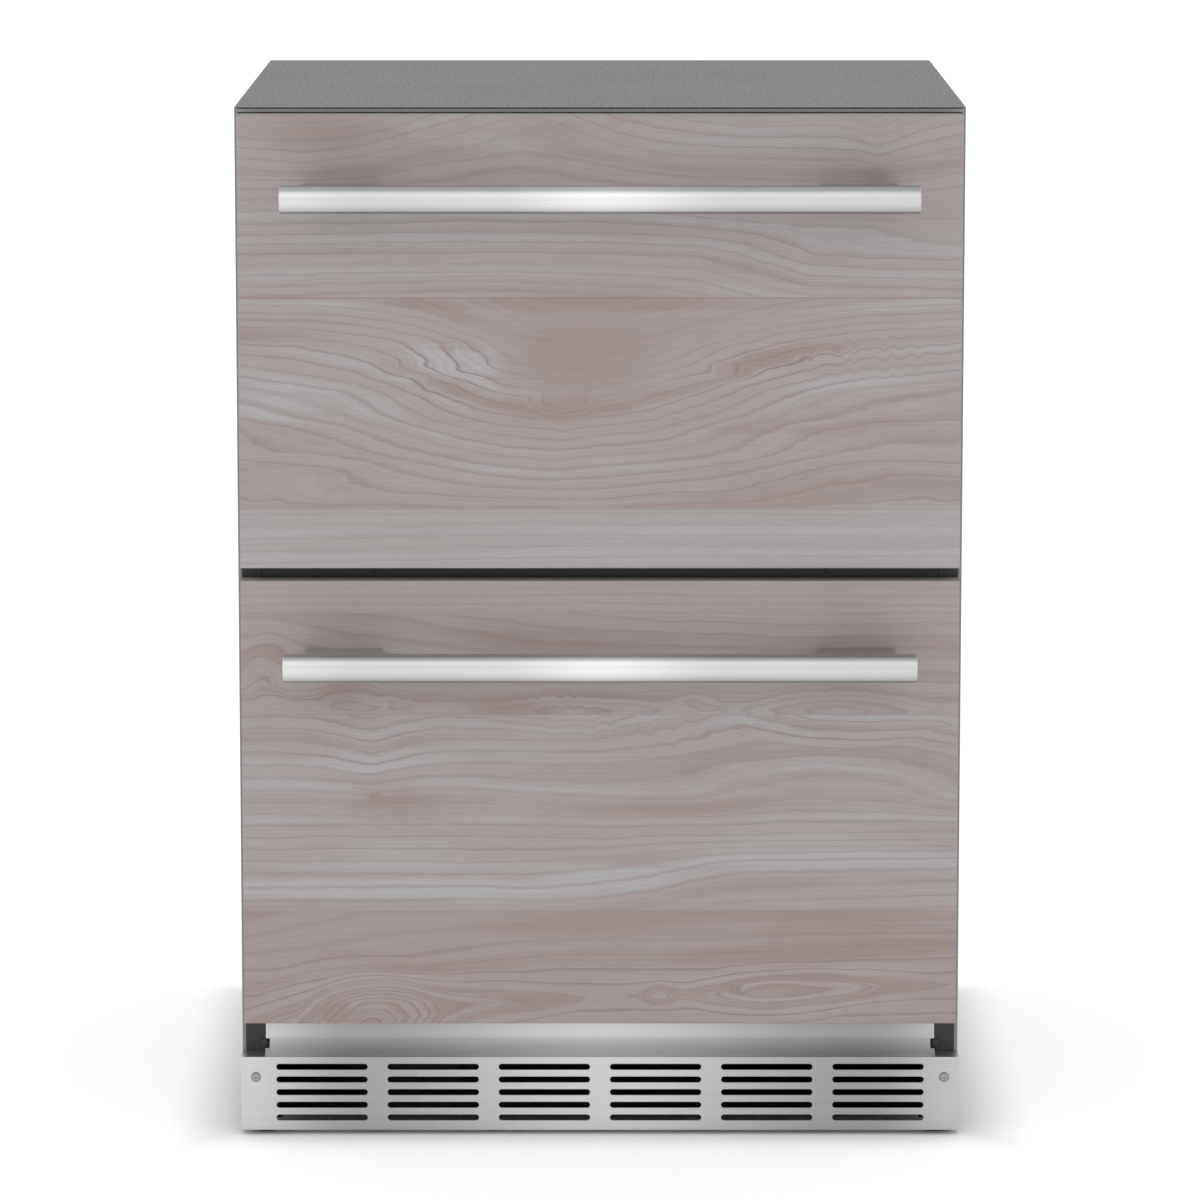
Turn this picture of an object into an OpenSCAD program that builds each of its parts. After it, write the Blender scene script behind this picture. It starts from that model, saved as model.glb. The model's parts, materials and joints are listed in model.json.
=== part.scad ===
// Undercounter refrigerator with two panelled drawers, built as a fitter would take it apart.
// Millimetres. +Z is up, the drawers open towards -Y, +X is the right-hand side seen from the front.
// The origin is on the floor, under the middle of the whole product with its handles.

/* [Cabinet] */
// Width over the side sheets
cab_w = 606.4; // [600:1:616]
// Height of the top sheet above the floor
cab_h = 867; // [855:1:885]
// Depth from the frame face to the back of the cabinet
cab_d = 575; // [565:1:590]
// Thickness of the painted steel sheets
sheet_t = 1.2; // [1:0.1:1.5]
// Bend radius on the outer edges of the sheets
edge_r = 3.2; // [2.5:0.1:4]
// Height of the rim of the top sheet
lip_h = 4.2; // [3.5:0.1:6]
// Width of the side sheets' rear flanges
flange_w = 15; // [12:1:20]
// Height of the underside of the base pan above the floor
base_z = 14; // [13:0.5:16]
// Height of the base pan's upturned edges
pan_edge_h = 12; // [8:1:16]
// Width of the base pan's two front ears, beside the slots of the grille
pan_ear_w = 34; // [33:1:38]
// Width of a frame post, seen from the front
post_w = 16.8; // [15:0.1:18]
// Depth of a frame post
post_d = 12; // [10:1:16]
// Height of the feet of the frame posts above the floor
post_z = 62; // [60:1:64]

/* [Insulation and liner] */
// Foam between the side sheet and the liner
foam_side = 38; // [36:0.5:40]
// Foam behind the liner
foam_back = 42.8; // [40:0.5:46]
// Foam above the liner
foam_top = 41.8; // [38:0.5:46]
// Foam under the liner
foam_floor = 43; // [40:0.5:45]
// Foam under the raised liner floor
foam_step = 38; // [34:0.5:40]
// Wall of the thermoformed liner
liner_t = 2; // [1.5:0.5:2.5]
// Corner radius of the liner where floor, walls and ceiling meet
liner_r = 14; // [8:1:18]
// Width of the liner's front flange
liner_flange = 20; // [19:0.5:20]
// Height of the liner floor at the front
cavity_z = 117; // [117:0.5:120]
// Height of the raised liner floor above the machine space
step_z = 275; // [272:1:278]
// Depth of the lower part of the cavity, from the frame face
step_d = 313; // [308:1:318]

/* [Mullion] */
// Height of the mullion between the two drawer openings
mullion_h = 49; // [47:0.5:51]
// Depth of the mullion beam
mullion_d = 40; // [34:1:44]
// Distance between the two screws in the mullion's face
mullion_screw_span = 380; // [340:5:420]
// Radius of the head of a mullion screw
mullion_screw_r = 2.4; // [2:0.1:3]

/* [Toe recess and grille] */
// Height of the grille's lower edge above the floor
grille_z = 4.4; // [3:0.1:8]
// Height of the grille
grille_h = 63; // [60:0.5:64]
// Thickness of the grille plate
grille_t = 1.5; // [1:0.1:2]
// Height of the recess between the grille and the lower drawer front
recess_h = 28.9; // [27:0.1:30]
// Radius of the cove at the back of the recess
cove_r = 18; // [14:1:20]
// Distance from the grille's side to the outer slots
slot_in = 29.85; // [28:0.05:40]
// Height of a grille slot
slot_h = 5.2; // [4:0.1:7]
// Metal between two columns of slots
slot_bridge = 16.7; // [12:0.1:30]
// Distance between grille rows
slot_pitch = 10.95; // [9.5:0.05:11]
// Columns of slots
slot_cols = 6; // [4:2:6]
// Rows of slots
slot_rows = 5; // [3:1:5]
// Height of the lowest row above the grille's lower edge
slot_first = 10.7; // [9:0.1:12]
// Distance of a grille screw from the side of the grille
grille_screw_in = 12.6; // [11:0.1:14]
// Height of the grille screws above the grille's lower edge
grille_screw_up = 45.75; // [40:0.05:50]
// Radius of a grille screw's head
grille_screw_head_r = 4.4; // [3.5:0.1:5]
// Radius of a grille screw's shank
grille_screw_r = 2; // [1.5:0.1:2.5]

/* [Drawer fronts] */
// Thickness of the wood panels
wood_t = 19; // [16:0.5:22]
// Distance from the cabinet's side to the wood panels' sides
wood_in = 3.2; // [3.2:0.1:6]
// Gap between the two wood panels
panel_gap = 10.6; // [8:0.1:12]
// Height from the upper panel's top edge to the top sheet
top_reveal = 4.7; // [4.4:0.1:8]
// Front sheet of the insulated drawer door
door_t = 1.5; // [1:0.1:2]
// Margin of the door sheet inside the panel's outline
door_margin = 4; // [3:0.5:6]
// Depth that the insulated door reaches into the opening
plug_d = 40; // [34:1:44]
// Gap between the insulated door and the opening
plug_gap = 5; // [4:0.5:8]
// Corner radius of the insulated door
plug_r = 12; // [6:1:20]
// Radius of a panel screw's shank
panel_screw_r = 2; // [1.5:0.1:2.5]
// Distance of the panel screws from the panel's sides
panel_screw_in = 8; // [7:0.5:9]

/* [Door gasket] */
// Compressed thickness of the gasket
gasket_t = 4.2; // [3.5:0.1:5]
// Width of the gasket
gasket_w = 17; // [15:0.5:17]
// Distance from the opening's edge to the gasket
gasket_in = 2; // [1.5:0.1:2]
// Depth of the fold in the gasket's bellows
gasket_fold = 5; // [3:0.5:6]

/* [Handles] */
// Length of a handle bar
bar_l = 524; // [500:1:560]
// Height of a handle bar
bar_h = 22; // [18:0.5:26]
// Depth of a handle bar
bar_d = 18; // [16:0.5:22]
// Depth of the curved front of the bar
bar_curve = 9; // [6:0.5:12]
// Distance from the wood to the front of the bar
handle_out = 64; // [58:1:70]
// Distance from a panel's top edge to the middle of its bar
bar_drop = 65; // [50:1:90]
// Width of a handle post
handle_post_w = 66; // [50:1:80]
// Height of a handle post
handle_post_h = 16; // [12:0.5:17]
// Distance between the middles of the two handle posts
handle_post_span = 428; // [400:1:440]

/* [Drawer slides] */
// Length of each slide member
rail_l = 450; // [440:5:460]
// Height of the cabinet member
rail_h = 45; // [42:0.5:48]
// Thickness over all three members
rail_t = 12.7; // [12:0.1:13.5]
// Sheet of the slide members
rail_sheet = 1.2; // [1:0.1:1.3]
// Running gap between slide members
rail_gap = 0.4; // [0.3:0.05:0.5]
// Height of the upper slides' middle above the mullion
upper_rail_up = 41; // [36:1:60]
// Height of the lower slides' middle above the raised liner floor
lower_rail_up = 35; // [30:1:50]

/* [Drawer bins] */
// Wall of a bin
bin_t = 2.5; // [2:0.25:3]
// Corner radius of a bin
bin_r = 14; // [8:1:20]
// Gap between a bin and the liner floor under it
bin_lift = 9; // [7:1:12]
// Distance from the frame face to a bin's back wall
bin_reach = 475; // [460:1:478]
// Height of the upper bin
upper_bin_h = 200; // [180:5:240]
// Height of the lower bin, front part
lower_bin_h = 226; // [222:2:260]
// Width of the rolled rim on a bin's top edge
bin_rim = 6; // [4:0.5:8]
// Thickness of a divider
divider_t = 3; // [2:0.5:4]
// Radius of a divider's lower corners
divider_r = 12; // [8:1:20]

/* [Levelling legs] */
// Radius of a leg's pad
pad_r = 15; // [12:0.5:18]
// Thickness of a leg's pad
pad_h = 5; // [4:0.5:7]
// Radius of a leg's threaded shank
shank_r = 4; // [3.5:0.5:5]
// Length of a leg's shank above the base pan
shank_up = 40; // [38:1:42]
// Distance of a leg's middle from the cabinet's side
leg_in = 20.5; // [20:0.5:24]
// Distance of the front legs behind the grille's face
leg_front = 27; // [24:0.5:32]
// Distance of the rear legs from the cabinet's back
leg_back = 40; // [30:1:50]

/* [Refrigeration] */
// Radius of the compressor's shell
comp_r = 72; // [66:1:76]
// Height of the compressor's shell
comp_h = 158; // [140:1:166]
// Distance of the compressor's middle from the cabinet's side
comp_in = 128; // [124:1:134]
// Radius of the condenser fan
cond_fan_r = 74; // [60:1:78]
// Blades of the condenser fan
cond_blades = 5; // [4:1:7]
// Room at each end of the condenser for its bends and lines
cond_room = 34.2; // [33:0.1:40]
// Width of the condenser in the air's direction
cond_w = 132; // [110:2:140]
// Height of the condenser
cond_h = 144; // [120:4:150]
// Fins of the condenser
cond_fins = 15; // [12:1:24]
// Radius of the refrigerant tubes
tube_r = 3.2; // [2.5:0.1:4]
// Width of the evaporator
evap_w = 372; // [340:4:380]
// Height of the evaporator
evap_h = 120; // [100:5:130]
// Fins of the evaporator
evap_fins = 24; // [12:1:30]
// Width of the evaporator cover
evap_cover_w = 440; // [420:5:460]
// Height of the evaporator cover
evap_cover_h = 240; // [230:5:250]
// Depth of the evaporator cover
evap_cover_d = 45; // [42:1:46]
// Radius of the evaporator fan
evap_fan_r = 42; // [36:1:46]
// Blades of the evaporator fan
evap_blades = 7; // [5:1:9]

/* [Hidden] */
$fn = 48;

// Clearances
part_gap = 0.3;      // between pieces that move past each other
shaft_gap = 0.05;    // radial gap of a shaft in its hole
hook_gap = 0.4;      // between a divider and its bin
past = 1;            // how far a cut runs past the face it opens
hair = 0.01;         // keeps the points of an outline apart where two roundings meet

// Front to back: the frame face carries the gaskets, the doors and the wood panels
front_t = part_gap + gasket_t + door_t + wood_t;
total_d = cab_d + front_t + handle_out;
back_y = total_d / 2;
face_y = back_y - cab_d;
gasket_y = face_y - part_gap;
door_y = gasket_y - gasket_t;
wood_back_y = door_y - door_t;
wood_y = wood_back_y - wood_t;
plug_y = face_y + plug_d;
bar_back_y = wood_y - handle_out + bar_d;

// Side to side
half_w = cab_w / 2;
inner_w = half_w - sheet_t;
wood_w = cab_w - 2 * wood_in;
post_x = half_w - edge_r - post_w;
cavity_x = inner_w - foam_side - liner_t;

// Floor to top
grille_top = grille_z + grille_h;
panel_z = grille_top + recess_h;
wood_h = (cab_h - top_reveal - panel_z - panel_gap) / 2;
mullion_z = panel_z + wood_h + panel_gap / 2;
body_top = cab_h - lip_h;
pan_top = base_z + sheet_t;
foam_z = cavity_z - liner_t - foam_floor;
foam_step_z = step_z - liner_t - foam_step;
cavity_top = cab_h - sheet_t - foam_top - liner_t;
rear_sheet_y = back_y - 2 * sheet_t;
cavity_back = rear_sheet_y - foam_back - liner_t;
step_y = face_y + step_d;
machine_y = step_y + liner_t + foam_side;
lower_open_top = mullion_z - mullion_h / 2;
upper_open_z = mullion_z + mullion_h / 2;

// Rails and bins
rail_back = 3;       // from the back of the doors to the front of the rails
rail_y = plug_y + rail_back;
upper_rail_z = upper_open_z + upper_rail_up;
lower_rail_z = step_z + lower_rail_up;
bin_x = cavity_x - rail_t;
bin_back = face_y + bin_reach;
upper_bin_z = upper_open_z + bin_lift;
lower_bin_z = cavity_z + bin_lift;
lower_bin_step_z = step_z + bin_lift;
lower_bin_step_y = step_y - bin_lift;
upper_bin_top = upper_bin_z + upper_bin_h;
lower_bin_top = lower_bin_z + lower_bin_h;
upper_divider_y = (plug_y + bin_back) / 2;
lower_divider_y = (plug_y + lower_bin_step_y) / 2;

// Machine space
grommet_h = 13;      // rubber under the compressor's plate
comp_plate_t = 2.5;
term_out = 26;       // how far the compressor's terminal box stands out
motor_l = 26;
fan_air = 10;        // between the terminal box and the fan's motor
fan_up = 26;         // from the base pan to the fan's edge
shroud_back = 16;    // from the back of the motor to the shroud's plate
coil_frame = 2.5;    // how far a coil's end plates stand past its fins
drain_h = 20;
machine_mid_y = (machine_y + sheet_t + rear_sheet_y) / 2;
machine_top = foam_step_z - sheet_t;
cond_l = rear_sheet_y - machine_y - sheet_t - 2 * cond_room;
comp_x = half_w - comp_in;
comp_plate_z = pan_top + grommet_h;
comp_z = comp_plate_z + comp_plate_t;
fan_x = comp_x - comp_r - term_out - motor_l - fan_air;
fan_z = pan_top + cond_fan_r + fan_up;
shroud_x = fan_x - shroud_back;
cond_x = shroud_x - cond_w / 2 - coil_frame;
cond_z = pan_top + drain_h + coil_frame + cond_h / 2;

// Cold side
cover_under = 2;     // from the liner's upper rounding to the evaporator's cover
cover_margin = 12;   // from the cover's top edge to the fan
evap_cover_y = cavity_back - evap_cover_d;
evap_cover_z = cavity_top - liner_r - cover_under - evap_cover_h;
evap_fan_z = evap_cover_z + evap_cover_h - evap_fan_r - cover_margin;

function unit(v) = v / norm(v);

// Points of one rounded corner b between its neighbours a and c; b is [x, y, radius]
function corner(a, b, c, n) =
    let (p = [b[0], b[1]], u = unit([a[0], a[1]] - p), v = unit([c[0], c[1]] - p))
    let (half = acos(u * v) / 2, centre = p + unit(u + v) * b[2] / sin(half))
    let (s = p + u * b[2] / tan(half) - centre, e = p + v * b[2] / tan(half) - centre)
    let (a0 = atan2(s[1], s[0]), turn = atan2(e[1], e[0]) - a0)
    let (sweep = turn > 180 ? turn - 360 : turn < -180 ? turn + 360 : turn)
    [for (k = [0 : n]) centre + b[2] * [cos(a0 + sweep * k / n), sin(a0 + sweep * k / n)]];

// A closed outline whose corners [x, y, radius] are rounded by n chords each
function rounded(pts, n = 5) =
    let (m = len(pts))
    [for (i = [0 : m - 1]) each pts[i][2] > 0
        ? corner(pts[(i + m - 1) % m], pts[i], pts[(i + 1) % m], n) : [[pts[i][0], pts[i][1]]]];

// Outlines drawn in X-Y, X-Z and Y-Z, made solid between two heights, depths or widths
module slab_z(z0, z1) translate([0, 0, z0]) linear_extrude(z1 - z0) children();
module slab_y(y0, y1) translate([0, y1, 0]) rotate([90, 0, 0]) linear_extrude(y1 - y0) children();
module slab_x(x0, x1) translate([x0, 0, 0]) rotate([90, 0, 90]) linear_extrude(x1 - x0) children();
module rect(lo, hi) translate(lo) square(hi - lo);
module box(lo, hi) translate(lo) cube(hi - lo);
module both_sides() { children(); mirror([1, 0, 0]) children(); }

// A rectangle from lo to hi with true round corners
module round_rect(lo, hi, r) {
    rect(lo + [r, 0], hi - [r, 0]);
    rect(lo + [0, r], hi - [0, r]);
    for (x = [lo[0] + r, hi[0] - r], y = [lo[1] + r, hi[1] - r]) translate([x, y]) circle(r);
}

// The same, by its middle and half sizes
module round_pad(middle, half, r) round_rect(middle - half, middle + half, r);

// A round rod from one point to another along an axis, and a bent tube through points
module rod(p, q, r) {
    d = q - p;
    translate(p) rotate([0, acos(d[2] / norm(d)), atan2(d[1], d[0])]) cylinder(r = r, h = norm(d));
}
module tube(pts, r) {
    for (i = [0 : len(pts) - 2]) rod(pts[i], pts[i + 1], r);
    for (i = [1 : len(pts) - 2]) translate(pts[i]) sphere(r);
}

// ---------------------------------------------------------------- cabinet shell

side_outline = rounded([
    [half_w - edge_r, face_y, 0], [half_w, face_y, edge_r - hair], [half_w, back_y, edge_r],
    [half_w - flange_w, back_y, 0], [half_w - flange_w, back_y - sheet_t, 0],
    [inner_w, back_y - sheet_t, 0], [inner_w, face_y + sheet_t, 0], [half_w - edge_r, face_y + sheet_t, 0]]);

module side_panel() color("#3a3a3b") slab_z(base_z, body_top) polygon(side_outline);
module left_side_panel() mirror([1, 0, 0]) side_panel();
module right_side_panel() side_panel();

module top_panel() color("#7d7d7e") difference() {
    slab_x(-half_w, half_w) polygon(rounded([
        [face_y, body_top, 0], [back_y, body_top, 0],
        [back_y, cab_h, lip_h / 2], [face_y, cab_h, lip_h / 2]]));
    box([-inner_w, face_y + sheet_t, body_top - past], [inner_w, back_y - sheet_t, cab_h - sheet_t]);
}

bead_w = 26;          // a stiffening bead pressed into the rear sheet
bead_in = 90;         // from the cabinet's side to the first bead
bead_end = 70;        // from the sheet's ends to the bead's ends
bead_t = 0.9;
bead_r = 11.8;
beads = 4;

module back_panel() color("#8b8b8a") {
    slab_y(rear_sheet_y, back_y - sheet_t) rect([-inner_w, machine_top], [inner_w, body_top]);
    for (i = [0 : beads - 1]) {
        x = -half_w + bead_in + i * (cab_w - 2 * bead_in) / (beads - 1);
        slab_y(back_y - sheet_t, back_y - sheet_t + bead_t) round_rect(
            [x - bead_w / 2, machine_top + bead_end], [x + bead_w / 2, body_top - bead_end], bead_r);
    }
}

vent_l = 96;          // louvre slots of the rear cover
vent_h = 5;
vent_pitch = 12;
vent_rows = 11;
vent_cols = 4;
vent_gap = 22;        // between two columns
vent_in = 80;         // from the cabinet's side to the first column
vent_drop = 30;       // from the cover's top edge to the top row
inlet_x = 52 - half_w;
inlet_z = base_z + 34;
inlet_size = [30, 22];
cover_screw_r = 2;
cover_screw_l = 9;
cover_head_r = 4.2;
cover_head_h = 1.1;
cover_screw_in = 30;  // from the cabinet's sides
cover_screw_drop = 10;
cover_screw_x = [cover_screw_in - half_w, 0, half_w - cover_screw_in];
cover_screw_z = machine_top - cover_screw_drop;
head_bevel = 0.6;     // how much a screw's head narrows towards its face
mullion_head_h = 1.2;

module vent_slots(x0, z0) for (c = [0 : vent_cols - 1], r = [0 : vent_rows - 1]) {
    x = x0 + c * (vent_l + vent_gap);
    z = z0 + r * vent_pitch;
    round_rect([x, z], [x + vent_l, z + vent_h], vent_h / 2 - hair);
}

// The outline of the mains inlet, grown by g all round
module inlet_outline(g) translate([inlet_x, inlet_z]) square(inlet_size + 2 * [g, g], center = true);

module machine_cover() color("#6f6f70") slab_y(rear_sheet_y, back_y - sheet_t) difference() {
    rect([-inner_w, pan_top + pan_edge_h], [inner_w, machine_top]);
    vent_slots(vent_in - half_w, machine_top - vent_drop - (vent_rows - 1) * vent_pitch);
    inlet_outline(0);
    for (x = cover_screw_x) translate([x, cover_screw_z]) circle(cover_screw_r);
}

// Black screws of the rear cover, and the two small ones in the mullion's face
module body_screws() color("#1c1c1d") {
    for (x = cover_screw_x) translate([x, back_y - sheet_t, cover_screw_z]) rotate([90, 0, 0]) {
        cylinder(r = cover_screw_r, h = cover_screw_l);
        translate([0, 0, -cover_head_h])
            cylinder(r1 = cover_head_r - head_bevel, r2 = cover_head_r, h = cover_head_h);
    }
    for (s = [-1, 1]) translate([s * mullion_screw_span / 2, face_y, mullion_z]) rotate([90, 0, 0])
        cylinder(r1 = mullion_screw_r, r2 = mullion_screw_r - head_bevel, h = mullion_head_h);
}

boss_r = 9;           // weld nut for a levelling leg
boss_h = 10;
tip_x = 200;          // holes for the anti-tip screws
tip_in = 18;
tip_r = 2.75;
tab_w = 20;           // upturned tabs that the grille is screwed to
tab_short = 2;        // how far a tab stays short of the pan's side
tab_up = 8;           // from the grille's screws to a tab's top
leg_x = half_w - leg_in;
leg_ys = [wood_y + leg_front, back_y - leg_back];
grille_back_y = wood_y + grille_t;
grille_screw_x = half_w - grille_screw_in;
grille_screw_z = grille_z + grille_screw_up;

module base_pan() color("#515253") difference() {
    union() {
        box([-inner_w, face_y + sheet_t, base_z], [inner_w, back_y - sheet_t, pan_top]);
        both_sides() box([half_w - pan_ear_w, grille_back_y, base_z], [half_w - edge_r, back_y / 2, pan_top]);
        both_sides() box([inner_w - sheet_t, leg_ys[0] + boss_r, pan_top],
            [inner_w, rear_sheet_y, pan_top + pan_edge_h]);
        box([-inner_w, rear_sheet_y, pan_top], [inner_w, back_y - sheet_t, pan_top + pan_edge_h]);
        both_sides() box([grille_screw_x - tab_w / 2, grille_back_y, pan_top],
            [grille_screw_x + tab_w / 2 - tab_short, grille_back_y + sheet_t, grille_screw_z + tab_up]);
        for (x = [-leg_x, leg_x], y = leg_ys) translate([x, y, pan_top]) cylinder(r = boss_r, h = boss_h);
    }
    for (x = [-leg_x, leg_x], y = leg_ys) translate([x, y, base_z - past])
        cylinder(r = shank_r + shaft_gap, h = boss_h + sheet_t + 2 * past);
    for (x = [-tip_x, tip_x]) translate([x, back_y - sheet_t - tip_in, base_z - past])
        cylinder(r = tip_r, h = sheet_t + 2 * past);
    both_sides() translate([grille_screw_x, grille_back_y - past, grille_screw_z]) rotate([-90, 0, 0])
        cylinder(r = grille_screw_r, h = sheet_t + 2 * past);
}

// Stepped sheet under the foam, between the cold space and the machine space
module floor_sheet(x, y) slab_x(-x, x) polygon([
    [y, foam_z - sheet_t], [machine_y + sheet_t, foam_z - sheet_t], [machine_y + sheet_t, machine_top],
    [rear_sheet_y, machine_top], [rear_sheet_y, foam_step_z], [machine_y, foam_step_z],
    [machine_y, foam_z], [y, foam_z]]);

module cabinet_floor() color("#9a9b9c") {
    floor_sheet(inner_w, face_y + post_d);
    floor_sheet(post_x, face_y + liner_t);
}

// The cavity's side view, grown outwards by g and opened at the front by f
function cavity_outline(g, f) = rounded([
    [face_y - f, cavity_z - g, 0], [step_y + g, cavity_z - g, liner_r + g],
    [step_y + g, step_z - g, liner_r - g], [cavity_back + g, step_z - g, liner_r + g],
    [cavity_back + g, cavity_top + g, liner_r + g], [face_y - f, cavity_top + g, 0]]);

module foam_block(x, y) slab_x(-x, x) polygon([
    [y, foam_z], [machine_y, foam_z], [machine_y, foam_step_z], [rear_sheet_y, foam_step_z],
    [rear_sheet_y, cab_h - sheet_t], [y, cab_h - sheet_t]]);

module insulation_foam() color("#e6dfae") difference() {
    union() {
        foam_block(inner_w, face_y + post_d);
        foam_block(post_x, face_y + liner_t);
    }
    slab_x(-cavity_x - liner_t, cavity_x + liner_t) polygon(cavity_outline(liner_t, past));
}

module inner_liner() color("#f1f2f2") difference() {
    union() {
        slab_x(-cavity_x - liner_t, cavity_x + liner_t) polygon(cavity_outline(liner_t, 0));
        slab_y(face_y, face_y + liner_t)
            rect([-post_x, cavity_z - liner_flange], [post_x, cavity_top + liner_flange]);
    }
    slab_x(-cavity_x, cavity_x) polygon(cavity_outline(0, past));
    box([-half_w, face_y - past, lower_open_top], [half_w, face_y + liner_t, upper_open_z]);
}

bumper_r = 3.4;       // small stop on the foot of each post
bumper_z = grille_top + 7;
bumper_out = 2;
bumper_in = 1.8;       // from the post's inner edge to the bumper's middle
post_edge_r = 1;

module frame_post() color("#1f2021") {
    slab_z(post_z, body_top) polygon(rounded([
        [post_x, face_y, post_edge_r], [post_x + post_w, face_y, 0], [post_x + post_w, face_y + post_d, 0],
        [post_x + post_w - sheet_t, face_y + post_d, 0], [post_x + post_w - sheet_t, face_y + sheet_t, 0],
        [post_x + sheet_t, face_y + sheet_t, 0], [post_x + sheet_t, face_y + post_d, 0],
        [post_x, face_y + post_d, 0]]));
    translate([post_x + bumper_in, face_y - bumper_out, bumper_z]) rotate([-90, 0, 0])
        cylinder(r = bumper_r, h = bumper_out);
}
module left_frame_post() mirror([1, 0, 0]) frame_post();
module right_frame_post() frame_post();

module top_rail() color("#1f2021") {
    box([-post_x, face_y, cavity_top + liner_flange], [post_x, face_y + sheet_t, body_top]);
}

mullion_t = 1.5;      // face plate of the mullion
mullion_r = 6;

module center_mullion() color("#1b1b1c") {
    box([-post_x, face_y, lower_open_top], [post_x, face_y + mullion_t, upper_open_z]);
    slab_x(-cavity_x, cavity_x) polygon(rounded([
        [face_y + mullion_t, lower_open_top, 0], [face_y + mullion_d, lower_open_top, mullion_r],
        [face_y + mullion_d, upper_open_z, mullion_r], [face_y + mullion_t, upper_open_z, 0]]));
}

// Bright sheet: down the frame face, round the cove and forward to the grille
cove_steps = 8;
function cove_arc(r, k) = [face_y - cove_r, grille_top + cove_r]
    + r * [cos(90 * k / cove_steps), -sin(90 * k / cove_steps)];

module toe_cove() color("#c3c4c5") difference() {
    slab_x(-post_x, post_x) polygon(concat(
        [[face_y + sheet_t, cavity_z - liner_flange], [face_y, cavity_z - liner_flange]],
        [for (k = [0 : cove_steps]) cove_arc(cove_r, k)],
        [[grille_back_y, grille_top], [grille_back_y, grille_top - sheet_t]],
        [for (k = [cove_steps : -1 : 0]) cove_arc(cove_r + sheet_t, k)]));
    both_sides() box([post_x - bumper_r, wood_y, bumper_z - bumper_r - part_gap],
        [half_w, face_y, bumper_z + bumper_r + part_gap]);
}

grille_foot_in = 20;  // stiffening flange along the grille's lower edge
grille_foot_d = 8;
slot_l = (cab_w - 2 * slot_in - (slot_cols - 1) * slot_bridge) / slot_cols;
slot_straight = (slot_l - slot_h) / 2;

module slot() {
    rect([-slot_straight, -slot_h / 2], [slot_straight, slot_h / 2]);
    for (s = [-1, 1]) translate([s * slot_straight, 0]) circle(slot_h / 2);
}

module base_grille() color("#b9babb") difference() {
    union() {
        slab_y(wood_y, grille_back_y) rect([-half_w, grille_z], [half_w, grille_top]);
        both_sides() box([inner_w, grille_back_y, grille_z], [half_w, face_y, grille_top]);
        box([grille_foot_in - post_x, grille_back_y, grille_z],
            [post_x - grille_foot_in, grille_back_y + grille_foot_d, grille_z + sheet_t]);
        both_sides() box([post_x, grille_back_y, grille_top - sheet_t],
            [inner_w, face_y - part_gap, grille_top]);
    }
    slab_y(wood_y - past, grille_back_y + past) for (c = [0 : slot_cols - 1], r = [0 : slot_rows - 1])
        translate([(c - (slot_cols - 1) / 2) * (slot_l + slot_bridge),
            grille_z + slot_first + r * slot_pitch]) slot();
    both_sides() translate([grille_screw_x, wood_y - past, grille_screw_z]) rotate([-90, 0, 0])
        cylinder(r = grille_screw_r, h = grille_t + 2 * past);
}

grille_head_h = 1.8;
grille_head_bevel = 1.4;
grille_screw_reach = 5;   // thread behind the tab
cross_w = 0.9;            // cross recess in a grille screw's head
cross_d = 1;

module grille_screws() color("#a6a7a8") both_sides() difference() {
    translate([grille_screw_x, wood_y, grille_screw_z]) rotate([-90, 0, 0]) {
        cylinder(r = grille_screw_r, h = grille_t + sheet_t + grille_screw_reach);
        translate([0, 0, -grille_head_h]) cylinder(r1 = grille_screw_head_r - grille_head_bevel,
            r2 = grille_screw_head_r, h = grille_head_h);
    }
    for (a = [0, 90]) translate([grille_screw_x, wood_y - grille_head_h, grille_screw_z]) rotate([0, a, 0])
        cube([grille_screw_head_r, 2 * cross_d, cross_w], center = true);
}

// ---------------------------------------------------------------- drawers

module drawer_door(z0, z1, open_z0, open_z1) color("#dfe0e1") {
    difference() {
        slab_y(wood_back_y, door_y) rect([-wood_w / 2 + door_margin, z0 + door_margin],
            [wood_w / 2 - door_margin, z1 - door_margin]);
        panel_screw_places(z0) translate([0, 0, -door_t - past])
            cylinder(r = panel_screw_r, h = door_t + 2 * past);
    }
    slab_y(door_y, plug_y) round_rect([-cavity_x + plug_gap, open_z0 + plug_gap],
        [cavity_x - plug_gap, open_z1 - plug_gap], plug_r);
}

upper_panel_z = mullion_z + panel_gap / 2;
module upper_drawer_door() drawer_door(upper_panel_z, upper_panel_z + wood_h, upper_open_z, cavity_top);
module lower_drawer_door() drawer_door(panel_z, panel_z + wood_h, cavity_z, lower_open_top);

// Magnetic gasket: a ring around the opening, with the fold of its bellows round the outside
module gasket_outline(open_z0, open_z1, g)
    round_rect([-cavity_x - g, open_z0 - g], [cavity_x + g, open_z1 + g], g);

module gasket(open_z0, open_z1) color("#2b2b2c") difference() {
    slab_y(door_y, gasket_y) difference() {
        gasket_outline(open_z0, open_z1, gasket_in + gasket_w);
        gasket_outline(open_z0, open_z1, gasket_in);
    }
    slab_y(door_y + 0.4 * gasket_t, door_y + 0.6 * gasket_t) difference() {
        gasket_outline(open_z0, open_z1, gasket_in + gasket_w + past);
        gasket_outline(open_z0, open_z1, gasket_in + gasket_w - gasket_fold);
    }
}
module upper_gasket() gasket(upper_open_z, cavity_top);
module lower_gasket() gasket(cavity_z, lower_open_top);

module wood_panel(z0) color("#b3a7a3") difference() {
    slab_y(wood_y, wood_back_y) rect([-wood_w / 2, z0], [wood_w / 2, z0 + wood_h]);
    panel_screw_places(z0) cylinder(r = panel_screw_r, h = panel_screw_l);
}
module upper_wood_panel() wood_panel(upper_panel_z);
module lower_wood_panel() wood_panel(panel_z);

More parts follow.
